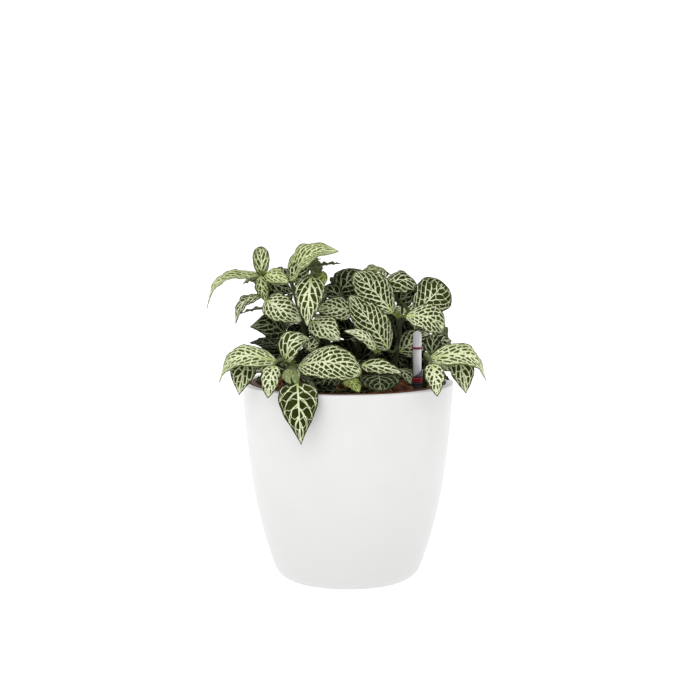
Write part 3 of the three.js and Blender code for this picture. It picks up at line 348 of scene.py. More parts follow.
# Shoots: the stem's radius, its root, its route as it is seen or its straight real points, and
# the route of its branch.
SHOOTS = [
    dict(name="front_left", radius=2.1, leaves=FRONT_LEFT_LEAVES, root=(-34, -33),
         route=[(-36, 137, -38), (-38, 143, -43), (-40, 147, -43)],
         branch=[(-36, 139, -40), (-50, 144.5, -34), (-62, 147.5, -34)]),
    dict(name="front_right", radius=2.1, leaves=FRONT_RIGHT_LEAVES, root=(50, -17),
         route=[(51.5, 139, -24), (52, 145, -33), (51.5, 150, -38)],
         branch=[(51.5, 141, -28), (59, 145.7, -32), (68, 148.7, -34)]),
    dict(name="upper_left", radius=1.7, leaves=UPPER_LEFT_LEAVES, root=(-25, 7),
         route=[(-36, 155, 6), (-46, 172, 5), (-54, 187, 2), (-56, 203, 2)]),
    dict(name="upper_centre", radius=1.7, leaves=UPPER_CENTRE_LEAVES, root=(-15, -6),
         route=[(-25, 150, -9), (-30, 170, -9), (-34, 186, -5), (-37.5, 199, -3)]),
    dict(name="top_centre", radius=1.7, leaves=TOP_CENTRE_LEAVES, root=(-7, 9),
         route=[(-13, 158, 5), (-18, 180, 2), (-20.5, 196, 1), (-21, 211, 2)]),
    dict(name="centre", radius=1.7, leaves=CENTRE_LEAVES, root=(6, 14),
         route=[(7, 155, 12), (5, 176, 8), (-2, 188, 12), (0, 197, 17)]),
    dict(name="right_centre", radius=2.1, leaves=RIGHT_CENTRE_LEAVES, root=(30, -4),
         route=[(32, 152, -5), (34, 165, -8), (33, 178, -8)],
         branch=[(34, 170, -7), (40, 178, -3), (34, 186, 2), (25, 197.4, 3)]),
    dict(name="front_centre", radius=1.7, leaves=FRONT_CENTRE_LEAVES, root=(6, -26),
         route=[(11, 141, -26), (18.5, 151, -22)]),
    dict(name="back_left", radius=1.8, leaves=BACK_LEFT_LEAVES, root=(-26, 28),
         straight=[(-27, 28, 150), (-28, 29, 172)]),
    dict(name="back", radius=1.8, leaves=BACK_LEAVES, root=(8, 38),
         straight=[(8, 38, 150), (8, 39, 175)]),
    dict(name="back_right", radius=1.8, leaves=BACK_RIGHT_LEAVES, root=(39, 24),
         straight=[(40, 25, 150), (41, 26, 173)]),
]

# How much stouter than the others a few stalks are.
STOUT_STALKS = {
    "front_left": {"drooping": 2.4, "bright": 1.7, "upright": 1.5, "side_short": 1.4},
    "front_right": {"side_short_mirrored": 1.5},
    "right_centre": {"upper": 1.7, "bright": 1.7, "round": 1.4},
}

# Growing tips: the shoot, where the tip is seen and how long its small leaves are.
BUDS = [
    ("right_centre", (33, 173.5, -13), 6.5), ("right_centre", (26, 196, 0), 4.5),
    ("upper_left", (-56.5, 202, -2), 5), ("upper_left", (-55, 188, -4), 4),
    ("upper_centre", (-38, 199, -6), 4.5), ("top_centre", (-21, 211, 0), 4.5),
    ("front_left", (-38, 143, -46), 5),
    ("front_centre", (18.5, 150, -25), 4), ("centre", (0, 196, 14), 4.5),
]


def bud_leaves(shoot):
    rows = []
    for owner, place, size in BUDS:
        if owner == shoot:
            for turn, rise in ((205, 0.6), (335, 0.5), (270, 0.8)):
                rows.append(hidden("bud", seen(place), turn, size, size * 0.62, size * rise,
                                   0.8, "bud"))
    return rows


# The vertex values that place the veins.
VEIN_VALUES = ("net", "blade", "scale", "veins")


# Meshes.

def unit(vectors):
    return vectors / np.linalg.norm(vectors, axis=-1, keepdims=True)


def linked(name, data):
    """A new object in the scene."""
    item = bpy.data.objects.new(name, data)
    bpy.context.scene.collection.objects.link(item)
    return item


class Skin:
    """Vertices, faces and vertex values that are gathered for one piece."""

    VECTORS = ("net", "blade", "scale", "tone", "veins", "way")

    def __init__(self):
        self.points, self.faces, self.slots, self.count = [], [], [], 0
        self.values = {name: [] for name in self.VECTORS}

    def add(self, points, faces, slot=0, **values):
        points = np.asarray(points, float).reshape(-1, 3)
        for face in faces:
            self.faces.append(tuple(int(corner) + self.count for corner in face))
        self.slots += [slot] * len(faces)
        self.points.append(points)
        self.count += len(points)
        for name in self.VECTORS:
            rows = np.broadcast_to(values.get(name, (0, 0, 0)), points.shape)
            self.values[name].append(rows)

    def piece(self, name, materials, values=False):
        mesh = bpy.data.meshes.new(name)
        mesh.from_pydata(np.concatenate(self.points) * MM, [], self.faces)
        mesh.polygons.foreach_set("material_index", self.slots)
        mesh.polygons.foreach_set("use_smooth", [True] * len(self.faces))
        for label in self.VECTORS if values else ():
            attribute = mesh.attributes.new(label, "FLOAT_VECTOR", "POINT")
            rows = np.concatenate(self.values[label]).astype(np.float32)
            attribute.data.foreach_set("vector", rows.ravel())
        for material in materials:
            mesh.materials.append(material)
        mesh.update()
        return linked(name, mesh)


def joined_rings(rings):
    """Faces between rings of vertices, where a pole is a ring of one vertex only."""
    faces = []
    for low, high in zip(rings, rings[1:]):
        for i in range(len(low)):
            k = (i + 1) % len(low)
            face = tuple(dict.fromkeys((low[i], low[k], high[k], high[i])))
            if len(face) > 2:
                faces.append(face)
    return faces


def lathe(profile, segments, x=0, y=0):
    """Vertices and faces of a closed profile turned round an upright axis. The profile runs
    anticlockwise, seen with the radius to the right and height up."""
    points, rings = [], []
    for radius, height in profile:
        if radius < 1e-6:
            rings.append([len(points)] * segments)
            points.append((x, y, height))
            continue
        rings.append(range(len(points), len(points) + segments))
        for i in range(segments):
            angle = 2 * math.pi * i / segments
            points.append((x + radius * math.cos(angle), y + radius * math.sin(angle), height))
    return points, joined_rings(rings)


def tube(centres, radii, across, sides):
    """Vertices and faces of a closed tube with blunt ends."""
    tangents = unit(np.gradient(centres, axis=0))
    first = unit(across - tangents * (tangents @ across)[:, None])
    second = np.cross(tangents, first)
    angles = (2 * np.pi * np.arange(sides) / sides)[:, None]
    ways = first[:, None] * np.cos(angles) + second[:, None] * np.sin(angles)
    points = centres[:, None] + ways * radii[:, None, None]
    ends = (centres[0] - tangents[0] * radii[0] * 0.5,
            centres[-1] + tangents[-1] * radii[-1] * 0.6)
    count = len(centres) * sides
    rings = [range(start, start + sides) for start in range(0, count, sides)]
    rings = [[count] * sides, *rings, [count + 1] * sides]
    return np.concatenate([points.reshape(-1, 3), ends]), joined_rings(rings)


# Curves.

def smooth_curve(places, steps=40):
    """Points on the centripetal curve through the places."""
    p = [np.array(place, float) for place in places]
    p = [2 * p[0] - p[1]] + p + [2 * p[-1] - p[-2]]
    points = []
    u = np.linspace(0, 1, steps, endpoint=False)[:, None]
    for a, b, c, d in zip(p, p[1:], p[2:], p[3:]):
        before, here, after = (math.sqrt(np.linalg.norm(run)) for run in (b - a, c - b, d - c))
        leave = ((b - a) / before - (c - a) / (before + here) + (c - b) / here) * here
        arrive = ((c - b) / here - (d - b) / (here + after) + (d - c) / after) * here
        square, cube = -3 * b + 3 * c - 2 * leave - arrive, 2 * b - 2 * c + leave + arrive
        points.append(b + leave * u + square * u ** 2 + cube * u ** 3)
    points.append(p[-2][None])
    return np.concatenate(points)


def spaced(points, count):
    """As many points as count, evenly spaced along the curve."""
    steps = np.linalg.norm(np.diff(points, axis=0), axis=1)
    run = np.concatenate([[0], np.cumsum(steps)])
    wanted = np.linspace(0, run[-1], count)
    return np.stack([np.interp(wanted, run, points[:, k]) for k in range(3)], axis=1)


def stem_routes(shoot):
    """The curves of the stem and its branch."""
    foot = BED_TOP - STEM_HOLE_DEPTH + RUNNING_GAP
    places = [(*shoot["root"], height) for height in (foot, BED_TOP, BED_TOP + STEM_FOOT_HEIGHT)]
    places += shoot.get("straight", []) + [seen(place) for place in shoot.get("route", [])]
    routes = [smooth_curve(places)]
    if "branch" in shoot:
        routes.append(smooth_curve([seen(place) for place in shoot["branch"]]))
    return routes


# Leaves.

class Blade:
    """The form of one leaf: midrib, width and surface."""

    def __init__(self, row):
        self.row = row
        self.base = row["base"]
        run = row["tip"] - row["base"]
        self.length = float(np.linalg.norm(run))
        self.along = run / self.length
        facing = np.array(row["facing"], float)
        self.up = unit(facing - self.along * (facing @ self.along))
        self.side = np.cross(self.along, self.up)

    def midrib(self, t):
        row = self.row
        t = np.asarray(t, float)
        bow = np.sin(np.pi * t ** (math.log(0.5) / math.log(row["peak"])))[..., None]
        lift = self.up * row["arch"] + self.side * row["sweep"]
        return self.base + self.along * (self.length * t[..., None]) + lift * bow

    def half_width(self, t):
        row = self.row
        rise = 1.5 * row["belly"]
        fall = 1.5 * (1 - row["belly"]) * row["point"]
        widest = rise / (rise + fall)
        peak = widest ** rise * (1 - widest) ** fall
        return (row["width"] / 2) * (t ** rise * (1 - t) ** fall) / peak

    def surface(self, t, v, seed):
        """The middle of the blade at t along and v across, both grids."""
        row = self.row
        tangent = unit(self.midrib(np.minimum(t + 0.01, 1)) - self.midrib(np.maximum(t - 0.01, 0)))
        normal = np.cross(np.broadcast_to(self.side, tangent.shape), tangent)
        margin = np.abs(v)
        uneven = 1 + 0.03 * np.sin(9 * t + seed) * margin
        uneven += 0.02 * np.sin(23 * t + 2 * seed + v) * margin ** 2
        reach = self.half_width(t) * v * uneven
        phase = np.pi * np.sign(v) / 3
        ruffle = row["wave"] * v * v * np.sin(2 * np.pi * MARGIN_WAVES * t + phase)
        ruffle += 0.22 * margin ** 3 * np.sin(2 * np.pi * 7.3 * t + seed + 2 * np.sign(v))
        ruffle += 0.1 * margin ** 4 * np.sin(2 * np.pi * 17 * t + 3 * seed + np.sign(v))
        lift = np.abs(reach) * (math.sin(row["fold"]) - row["curl"] * margin)
        lift = lift + ruffle * np.sin(np.pi * t)
        across = self.side * math.cos(row["fold"])
        return self.midrib(t) + across * reach[..., None] + normal * lift[..., None]


def vein_coordinates(blade, look, t, v, run, across, seed):
    """Vertex values that place the veins: x steps from one side vein to the next, and y steps
    from tie to tie along them. scale is how many millimetres a step takes."""
    growth = (blade.length / 35) ** 0.25
    margin = np.abs(v)
    half = blade.half_width(t)
    slope = look["slope"]
    lean = slope * blade.row["width"] / 2 * margin + look["bend"] * blade.length * margin ** 3
    x = (t * blade.length - lean) / (look["spacing"] * growth) + 0.4
    reach = (0.7 * margin * half + slope * t * blade.length) / math.hypot(1, slope)
    y = reach / (look["tie"] * growth)
    rim = np.minimum(half * (1 - margin), 0.5 * (1 - t) * blade.length)
    lengths = [np.maximum(np.linalg.norm(way, axis=-1), 1e-4) for way in (run, across)]
    steps = []
    for field in (x, y):
        slopes = [np.gradient(field, axis=k) / lengths[k] for k in (0, 1)]
        steps.append(1 / np.maximum(np.hypot(*slopes), 0.06))
    rows = dict(
        net=(x, y, v), blade=(t, rim, margin * half), scale=(*steps, seed),
        tone=(look["youth"], look["shade"], look["pallor"]),
        veins=(look["main"] / 2, look["thin"] / 2, look["jitter"]))
    return {name: np.stack([value * np.ones_like(t) for value in row], -1)
            for name, row in rows.items()}


def detail(blade):
    """Rows and columns of a leaf's mesh."""
    if "places" not in blade.row or blade.length < SHORT_LEAF:
        return 32, 17
    return (72, 41) if blade.length > LONG_LEAF else (50, 29)


def add_leaf(skin, row, routes, seed, draw):
    blade = Blade(row)
    rows, columns = detail(blade)
    ease = np.linspace(0, 1, rows)
    stations = 0.002 + 0.996 * (0.5 - 0.5 * np.cos(np.pi * ease) + ease) / 2
    t, v = np.meshgrid(stations, np.linspace(-1, 1, columns), indexing="ij")
    middle = blade.surface(t, v, seed)
    run, across = np.gradient(middle, axis=0), np.gradient(middle, axis=1)
    normal = unit(np.cross(across, run))
    half = normal * (BLADE_EDGE + BLADE_SWELL * (1 - v ** 2))[..., None]

    count = rows * columns
    grid = np.arange(count).reshape(rows, columns)
    quads = np.stack([grid[:-1, :-1], grid[:-1, 1:], grid[1:, 1:], grid[1:, :-1]], -1)
    quads = quads.reshape(-1, 4)
    rim = np.concatenate([grid[:, 0], grid[-1, 1:], grid[-2::-1, -1], grid[0, -2:0:-1]])
    faces = [*quads[:, ::-1], *(quads + count), *joined_rings([rim, rim + count])]

    look = dict(zip(LOOK_VALUES, LOOKS[row["look"]]))
    values = vein_coordinates(blade, look, t, v, run, across, seed)
    values = {name: np.concatenate([value.reshape(-1, 3)] * 2) for name, value in values.items()}
    values["way"] = np.stack([normal, -0.35 * normal]).reshape(-1, 3)
    values["tone"][count:, 1] += 2
    skin.add([middle + half, middle - half], faces, 0, **values)
    add_petiole(skin, blade, routes, draw)


def add_petiole(skin, blade, routes, draw):
    """The leaf's stalk, which goes on under the blade as the midrib's ridge."""
    places = np.concatenate([spaced(route, 61) for route in routes])
    gaps = np.linalg.norm(places - blade.base, axis=1)
    root, distance = places[gaps.argmin()], gaps.min()
    bend = PETIOLE_BEND * distance
    if distance < SHORTEST_PETIOLE:
        root = blade.base - blade.along * 1.5 * SHORTEST_PETIOLE
        bend = 0.75 * SHORTEST_PETIOLE
    knee = blade.base - blade.along * bend
    u = np.linspace(0, 1, 8)[:, None]
    stalk = (1 - u) ** 2 * root + 2 * u * (1 - u) * knee + u * u * blade.base
    t = np.linspace(0.03, 0.93, 14)
    tangent = unit(blade.midrib(t + 0.02) - blade.midrib(t - 0.02))
    normal = np.cross(np.broadcast_to(blade.side, tangent.shape), tangent)
    thick = np.concatenate([np.linspace(1.0, 0.75, 8), np.linspace(0.72, 0.12, 14)])
    if blade.length < SHORT_LEAF:
        thick *= blade.length / SHORT_LEAF * 0.75
    stout = blade.row["stalk"]
    thick[:8] *= np.linspace(stout, (1 + stout) / 2, 8)
    ridge = blade.midrib(t) - normal * (0.15 + 0.55 * thick[8:, None])
    paleness = min(0.2 + 0.9 * (stout - 1), 1)
    centres = np.concatenate([stalk, ridge])
    skin.add(*tube(centres, thick, blade.side, 8), 1, tone=(paleness, 0, 0))
    add_hairs(skin, stalk, thick, draw, 3 * stout, 0.8, paleness)


def add_stems(skin, shoot, routes, draw):
    """The stem and its branch, a little thicker where leaves stand."""
    for share, count, route in zip((1, 0.7), (40, 20), routes):
        centres = spaced(route, count)
        gaps = [np.linalg.norm(centres - row["base"], axis=1) for row in shoot["leaves"]]
        swell = 1 + 0.22 * np.exp(-(np.min(gaps, axis=0) / 4) ** 2)
        radii = shoot["radius"] * share * (0.92 - 0.2 * np.linspace(0, 1, count)) * swell
        skin.add(*tube(centres, radii, np.array((0.2, 1, 0.1)), 14), 1)
        above = centres[:, 2] > BED_TOP + 4
        add_hairs(skin, centres[above], radii[above], draw, 4, 0.9, 0.25)


def add_hairs(skin, centres, radii, draw, per_millimetre, length, paleness):
    """Short soft hairs that stand out from a stem or a stalk."""
    steps = np.linalg.norm(np.diff(centres, axis=0), axis=1)
    run = np.concatenate([[0], np.cumsum(steps)])
    for place in draw.uniform(0, run[-1], int(run[-1] * per_millimetre)):
        k = int(np.clip(np.searchsorted(run, place) - 1, 0, len(steps) - 1))
        share = (place - run[k]) / steps[k]
        middle = centres[k] + (centres[k + 1] - centres[k]) * share
        along = (centres[k + 1] - centres[k]) / steps[k]
        out = draw.normal(size=3)
        out = unit(out - along * (out @ along))
        root = middle + out * radii[k] * 0.85
        way = out + along * draw.uniform(-0.2, 0.5)
        top = middle + way * (radii[k] + length * draw.uniform(0.6, 1.1))
        side, other = along * HAIR_RADIUS, np.cross(out, along) * HAIR_RADIUS
        points = [root + side, root - side * 0.5 + other, root - side * 0.5 - other, top]
        skin.add(points, [(0, 1, 3), (1, 2, 3), (2, 0, 3), (0, 2, 1)], 1, tone=(paleness, 0, 0))


# Materials.

class Value:
    """A node's output. Sums, products and the like of it add nodes of their own."""

    def __init__(self, graph, socket):
        self.graph, self.socket = graph, socket

    def maths(self, operation, *others):
        inputs = dict(enumerate((self, *others)))
        return self.graph.add("ShaderNodeMath", inputs, operation=operation)

    def __add__(self, other):
        return self.maths("ADD", other)

    def __sub__(self, other):
        return self.maths("SUBTRACT", other)

    def __mul__(self, other):
        return self.maths("MULTIPLY", other)

    def __truediv__(self, other):
        return self.maths("DIVIDE", other)

    def step(self, low, high, start=0, end=1):
        """Goes smoothly from start to end as the value goes from low to high."""
        inputs = dict(enumerate((self, low, high, start, end)))
        return self.graph.add("ShaderNodeMapRange", inputs, interpolation_type="SMOOTHSTEP")

    def mix(self, a, b):
        """Colour a where the value is 0, and b where it is 1."""
        a, b = (colour if isinstance(colour, Value) else (*colour, 1) for colour in (a, b))
        return self.graph.add("ShaderNodeMix", {0: self, 6: a, 7: b}, output=2, data_type="RGBA")

    def blend(self, a, b):
        """Number a where the value is 0, and b where it is 1."""
        return self.graph.add("ShaderNodeMix", {0: self, 2: a, 3: b}, data_type="FLOAT")

    def noise(self, scale, detail=2, roughness=0.5):
        inputs = {"Vector": self, "Scale": scale, "Detail": detail, "Roughness": roughness}
        return self.graph.add("ShaderNodeTexNoise", inputs)

    def parts(self):
        """The vector's x, y and z."""
        node = self.graph.add("ShaderNodeSeparateXYZ", {0: self}).socket.node
        return [Value(self.graph, socket) for socket in node.outputs]

    def bump(self, strength, distance):
        inputs = {"Height": self, "Strength": strength, "Distance": distance}
        return self.graph.add("ShaderNodeBump", inputs)


class Graph:
    """Adds nodes to a tree and links them."""

    def __init__(self, tree):
        self.tree = tree

    def fill(self, node, inputs):
        """Links the inputs that are values, and sets the others."""
        for key, value in inputs.items():
            if isinstance(value, Value):
                self.tree.links.new(value.socket, node.inputs[key])
            else:
                node.inputs[key].default_value = value

    def add(self, kind, inputs, output=0, **settings):
        node = self.tree.nodes.new(kind)
        for name, value in settings.items():
            setattr(node, name, value)
        self.fill(node, inputs)
        return None if output is None else Value(self, node.outputs[output])

    def joined(self, x, y, z=0):
        return self.add("ShaderNodeCombineXYZ", {0: x, 1: y, 2: z})

    def attribute(self, name):
        return self.add("ShaderNodeAttribute", {}, output=1, attribute_name=name)

    def place(self):
        """The place on the object in metres."""
        return self.add("ShaderNodeTexCoord", {}, output=3)


def new_material(name):
    """An empty Principled material and its graph."""
    material = bpy.data.materials.new(name)
    material.use_nodes = True
    return material, Graph(material.node_tree)


def principled(material, graph, colour, roughness, **values):
    """Fills in the material's Principled node."""
    shader = next(node for node in graph.tree.nodes if node.type == "BSDF_PRINCIPLED")
    values = dict(Base_Color=colour, Roughness=roughness) | values
    graph.fill(shader, {name.replace("_", " "): value for name, value in values.items()})
    return material


def vein_field(graph, net, blade, scale, veins):
    """The share of vein at a place on a blade, how far the veins are in millimetres, and the
    height of the blade between them, from 0 to 1."""
    x, y, v = net.parts()
    t, rim, off = blade.parts()
    x_step, y_step, seed = scale.parts()
    main, tie, jitter = veins.parts()

    # Wavy places, which are others on each side of the midrib and on each leaf.
    right = v.maths("GREATER_THAN", 0)
    own = right * 31 + seed * 5
    place, turned = graph.joined(x, y, own), graph.joined(y, x, own)
    x = (place.noise(0.7) - 0.5) * 0.5 + (right * 0.4 + x)
    y = (turned.noise(0.9) - 0.5) * 0.7 + y

    # Cells in rows between the side veins, each row half a cell further on.
    phase = jitter * -0.5 + (x + 0.5)
    across = phase.maths("FRACT")
    stagger = across.step(0, 0.3, -0.5, 0) + across.step(0.7, 1, 0, 0.5)
    y = (phase.maths("FLOOR") + stagger) * 0.5 + y
    column = x + own.maths("FLOOR")
    cells = {"Vector": graph.joined(column, own * 7.7 + y), "Scale": 1, "Randomness": jitter}
    cell_off = graph.add("ShaderNodeTexVoronoi", cells, voronoi_dimensions="2D",
                         feature="DISTANCE_TO_EDGE")

    # How far each kind of vein is, and how wide it is.
    cell_off = cell_off * ((x_step + y_step) * 0.5)
    main_off = phase.maths("PINGPONG", 0.5) * x_step
    hem_off = (rim - place.noise(1.1, 1).step(0.3, 0.7, 1, 1.9)).maths("ABSOLUTE")
    fade = (rim / (rim + off)).step(0.1, 0.9, 0.55, 1.2) * t.step(0.5, 1, 1, 0.6)
    tie = tie * fade * place.noise(1.7, 1).step(0.3, 0.7, 0.7, 1.3)
    midrib = main * t.step(0, 1, 1.7, 0.55)
    main = main * fade
    along = (across - 0.5).maths("ABSOLUTE").step(0.22, 0.42)
    ratio, pillow = cell_off / along.blend(tie, main * 0.85), cell_off
    for distance, width in ((off, midrib), (main_off, main * 0.7), (hem_off, tie * 0.8)):
        ratio = ratio.maths("SMOOTH_MIN", distance / width, 0.6)
        pillow = pillow.maths("SMOOTH_MIN", distance, 0.5)
    share = ratio.step(0.5, 1, 1, 0) * rim.step(0.3, 0.9)
    return share, pillow, pillow.step(-0.1, 1.5)


def quilt(piece):
    """Raises the blades between their veins."""
    tree = bpy.data.node_groups.new("quilt", "GeometryNodeTree")
    for end in ("INPUT", "OUTPUT"):
        tree.interface.new_socket("Mesh", in_out=end, socket_type="NodeSocketGeometry")
    graph = Graph(tree)
    *veins, way = (
        graph.add("GeometryNodeInputNamedAttribute", {0: name}, data_type="FLOAT_VECTOR")
        for name in (*VEIN_VALUES, "way"))
    rise = vein_field(graph, *veins)[2] * (QUILT_HEIGHT * MM)
    shift = graph.add("ShaderNodeVectorMath", {0: way, "Scale": rise}, operation="SCALE")
    mesh = graph.add("NodeGroupInput", {})
    moved = graph.add("GeometryNodeSetPosition", {"Geometry": mesh, "Offset": shift})
    graph.add("NodeGroupOutput", {0: moved}, output=None)
    piece.modifiers.new("quilt", "NODES").node_group = tree
    keep_result(piece)


def leaf_material():
    material, graph = new_material("leaf")
    veins = [graph.attribute(name) for name in VEIN_VALUES]
    share, distance, pillow = vein_field(graph, *veins)
    t, _, off = veins[1].parts()
    youth, shaded, pallor = graph.attribute("tone").parts()
    under = shaded.maths("GREATER_THAN", 1.5)
    shade = under * -2 + shaded
    place = graph.place()
    patch = place.noise(90, 3).step(0.3, 0.7)
    green = patch.mix((0.013, 0.018, 0.0014), (0.033, 0.044, 0.004))
    # Painted shade: the shade value darkens the cells and fades their specks on leaves that stand
    # in the plant's shadow.
    green = shade.mix(green, (0.0015, 0.0022, 0.0003))
    green = youth.mix(green, (0.27, 0.34, 0.035))
    speck = place.noise(900, 3).step(0.45, 0.75) * 0.35 * shade.blend(1, 0.25)
    green = speck.mix(green, (0.055, 0.085, 0.010))
    wash = pallor * distance.step(0.2, 1.5, 1, 0.1)
    green = wash.mix(green, (0.40, 0.48, 0.20))
    cream = patch.mix((0.63, 0.69, 0.42), (0.79, 0.83, 0.57))
    cream = youth.mix(cream, (0.62, 0.74, 0.16))
    near_base = t.step(0.02, 0.32, 0.8, 0) * off.step(0.6, 3, 1, 0)
    cream = near_base.mix(cream, (0.42, 0.52, 0.15))
    # Painted shade: the shade value greys the cream veins and thins them on shaded leaves.
    cream = shade.mix(cream, (0.20, 0.24, 0.13))
    share = share * shade.blend(0.97, 0.75)
    colour = (under * 0.75).mix(share.mix(green, cream), (0.11, 0.15, 0.06))
    relief = (place.noise(2600) * 0.08 + pillow).bump(0.7, 0.0006)
    return principled(material, graph, colour, share.blend(0.45, 0.55),
                      Specular_IOR_Level=0.05, Normal=relief)


def stem_material():
    """Pale on the stout stalks and near the stems' tops, and else deep green."""
    material, graph = new_material("stem")
    place = graph.place()
    patch = place.noise(160, 3).step(0.35, 0.65)
    pale = patch.mix((0.15, 0.19, 0.075), (0.25, 0.31, 0.14))
    deep = patch.mix((0.012, 0.017, 0.005), (0.030, 0.040, 0.014))
    high = (place.noise(45, 1) * 0.02 + place.parts()[2]).step(0.170, 0.225, 0, 0.6)
    paleness = graph.attribute("tone").parts()[0].maths("MAXIMUM", high)
    fine = place.noise(1500)
    colour = (fine * 0.35).mix(paleness.mix(deep, pale), (0.06, 0.045, 0.02))
    return principled(material, graph, colour, 0.7,
                      Specular_IOR_Level=0.15, Normal=fine.bump(0.4, 0.0003))


def moulded_material(name, low, high, roughness, grain=0.15, foot=None, **values):
    """Moulded plastic: a faint cloudiness between two colours, darkened with painted shade towards
    the foot colour in the lowest 100 mm where one is given, and a fine grain."""
    material, graph = new_material(name)
    place = graph.place()
    fine = place.noise(1400, 3, 0.6)
    rough = fine.step(0.3, 0.7, roughness - 0.05, roughness + 0.05)
    colour = place.noise(45, 3).step(0.3, 0.7).mix(low, high)
    if foot:
        # Painted shade: the colour darkens towards the foot colour over the lowest 100 mm.
        colour = place.parts()[2].step(0, 0.1, 1, 0).mix(colour, foot)
    return principled(material, graph, colour, rough, Normal=fine.bump(grain, 0.0002), **values)


def collar_material():
    """Red at the collar's foot, with painted highlights in brighter red, and blue-grey on its
    oblique upper part.
    """
    material, graph = new_material("indicator_red")
    place = graph.place()
    height = place.parts()[2]
    # Painted highlights: brighter red spots stand in for the glints on the shiny red plastic.
    highlight_spots = place.noise(330, 1).step(0.5, 0.66)
    red = highlight_spots.mix((0.28, 0.007, 0.022), (0.78, 0.025, 0.06))
    grey = height.step(0.1350, 0.1385).mix((0.060, 0.045, 0.062), (0.10, 0.11, 0.135))
    colour = height.step(0.1342, 0.1350).mix(red, grey)
    return principled(material, graph, colour, 0.38, Normal=place.noise(1400).bump(0.12, 0.0002))


def clay_material():
    material, graph = new_material("clay")
    place = graph.place()
    fine = place.noise(900, 4, 0.65)
    colour = place.noise(110).step(0.35, 0.65).mix((0.20, 0.070, 0.022), (0.62, 0.24, 0.075))
    colour = fine.step(0.35, 0.7).mix((0.10, 0.040, 0.018), colour)
    return principled(material, graph, colour, 0.9, Normal=fine.bump(0.6, 0.0006))


# Pot, pebbles and indicator.

def planter_radius(height):
    below = 1 - height / PLANTER_HEIGHT
    return PLANTER_RIM_RADIUS - PLANTER_LINEAR_TAPER * below - PLANTER_CUBIC_TAPER * below ** 3


def planter_profile():
    points = [(0, 0)]
    for i in range(13):
        angle = math.pi / 2 * i / 12
        inset = PLANTER_FOOT_ROUNDING * (1 - math.sin(angle))
        height = PLANTER_FOOT_ROUNDING * (1 - math.cos(angle))
        points.append((planter_radius(height) - inset, height))
    edge = PLANTER_HEIGHT - PLANTER_EDGE
    for i in range(1, 41):
        height = PLANTER_FOOT_ROUNDING + (edge - PLANTER_FOOT_ROUNDING) * i / 40
        points.append((planter_radius(height), height))
    lip = PLANTER_RIM_RADIUS - PLANTER_LIP_WIDTH
    points += arc(PLANTER_RIM_RADIUS - PLANTER_EDGE, edge, PLANTER_EDGE, 11.25, 78.75, 6)
    points += arc(lip + PLANTER_EDGE, edge, PLANTER_EDGE, 90, 180, 8)
    points.append((lip, PLANTER_HEIGHT - PLANTER_LIP_DEPTH))
    foot = PLANTER_FLOOR + PLANTER_CORNER
    top = PLANTER_HEIGHT - PLANTER_LIP_DEPTH - PLANTER_WALL
    for i in range(25):
        height = top - (top - foot) * i / 24
        points.append((planter_radius(height) - PLANTER_WALL, height))
    corner = planter_radius(foot) - PLANTER_WALL - PLANTER_CORNER
    return points + arc(corner, foot, PLANTER_CORNER, -15, -90, 5) + [(0, PLANTER_FLOOR)]


def culture_radius(height):
    rise = (height - CULTURE_BOTTOM) / (CULTURE_TOP - CULTURE_BOTTOM)
    return CULTURE_BOTTOM_RADIUS + (CULTURE_TOP_RADIUS - CULTURE_BOTTOM_RADIUS) * rise


def pebble(draw, size):
    """A lumpy pebble round the origin."""
    mesh = bmesh.new()
    bmesh.ops.create_icosphere(mesh, subdivisions=3, radius=1)
    shift = Vector(draw.uniform(-50, 50, 3))
    squash = np.array([1, draw.uniform(0.78, 1), draw.uniform(0.7, 0.95)])
    points = []
    for vertex in mesh.verts:
        lump = noise.noise(vertex.co * 1.1 + shift) * 0.28
        lump += noise.noise(vertex.co * 3.1 + shift) * 0.10
        points.append(np.array(vertex.co) * (1 + lump) * size * squash)
    faces = [tuple(v.index for v in face.verts) for face in mesh.faces]
    mesh.free()
    turn = Quaternion(unit(draw.normal(size=4))).to_matrix()
    return points @ np.array(turn).T, faces


def granules_piece(material):
    """Single pebbles on a bed, clear of the stems and the indicator."""
    draw = np.random.default_rng(PEBBLE_SEED)
    skin = Skin()
    bottom = CULTURE_BOTTOM + 1.9
    top_radius = culture_radius(BED_TOP) - BED_GAP
    skin.add(*lathe([(0, bottom), (culture_radius(bottom) - BED_GAP, bottom),
                     (top_radius, BED_TOP), (0, BED_TOP)], 64))
    keep_out = [(*shoot["root"], STEM_CLEARANCE) for shoot in SHOOTS]
    keep_out.append((INDICATOR_X, 0, INDICATOR_CLEARANCE))
    placed = []
    for count, low, high, near in PEBBLE_LAYERS:
        layer = []
        for _ in range(PEBBLE_TRIES):
            size = draw.uniform(*PEBBLE_SIZES)
            distance = (top_radius - 0.4 - size) * math.sqrt(draw.uniform())
            angle = draw.uniform(0, 2 * math.pi)
            x, y = distance * math.cos(angle), distance * math.sin(angle)
            place = (x, y, draw.uniform(low, high))
            if any(math.dist((x, y), (a, b)) < size * 0.9 + r for a, b, r in keep_out):
                continue
            if any(math.dist(place, other) < near * (size + r) for other, r in placed + layer):
                continue
            layer.append((place, size))
            points, faces = pebble(draw, size)
            skin.add(points + place, faces)
            if len(layer) == count:
                break
        placed += layer
    return skin.piece("clay_pebbles", [material])


def lathed_piece(name, profile, material, segments, x=0):
    skin = Skin()
    skin.add(*lathe(profile, segments, x))
    return skin.piece(name, [material])


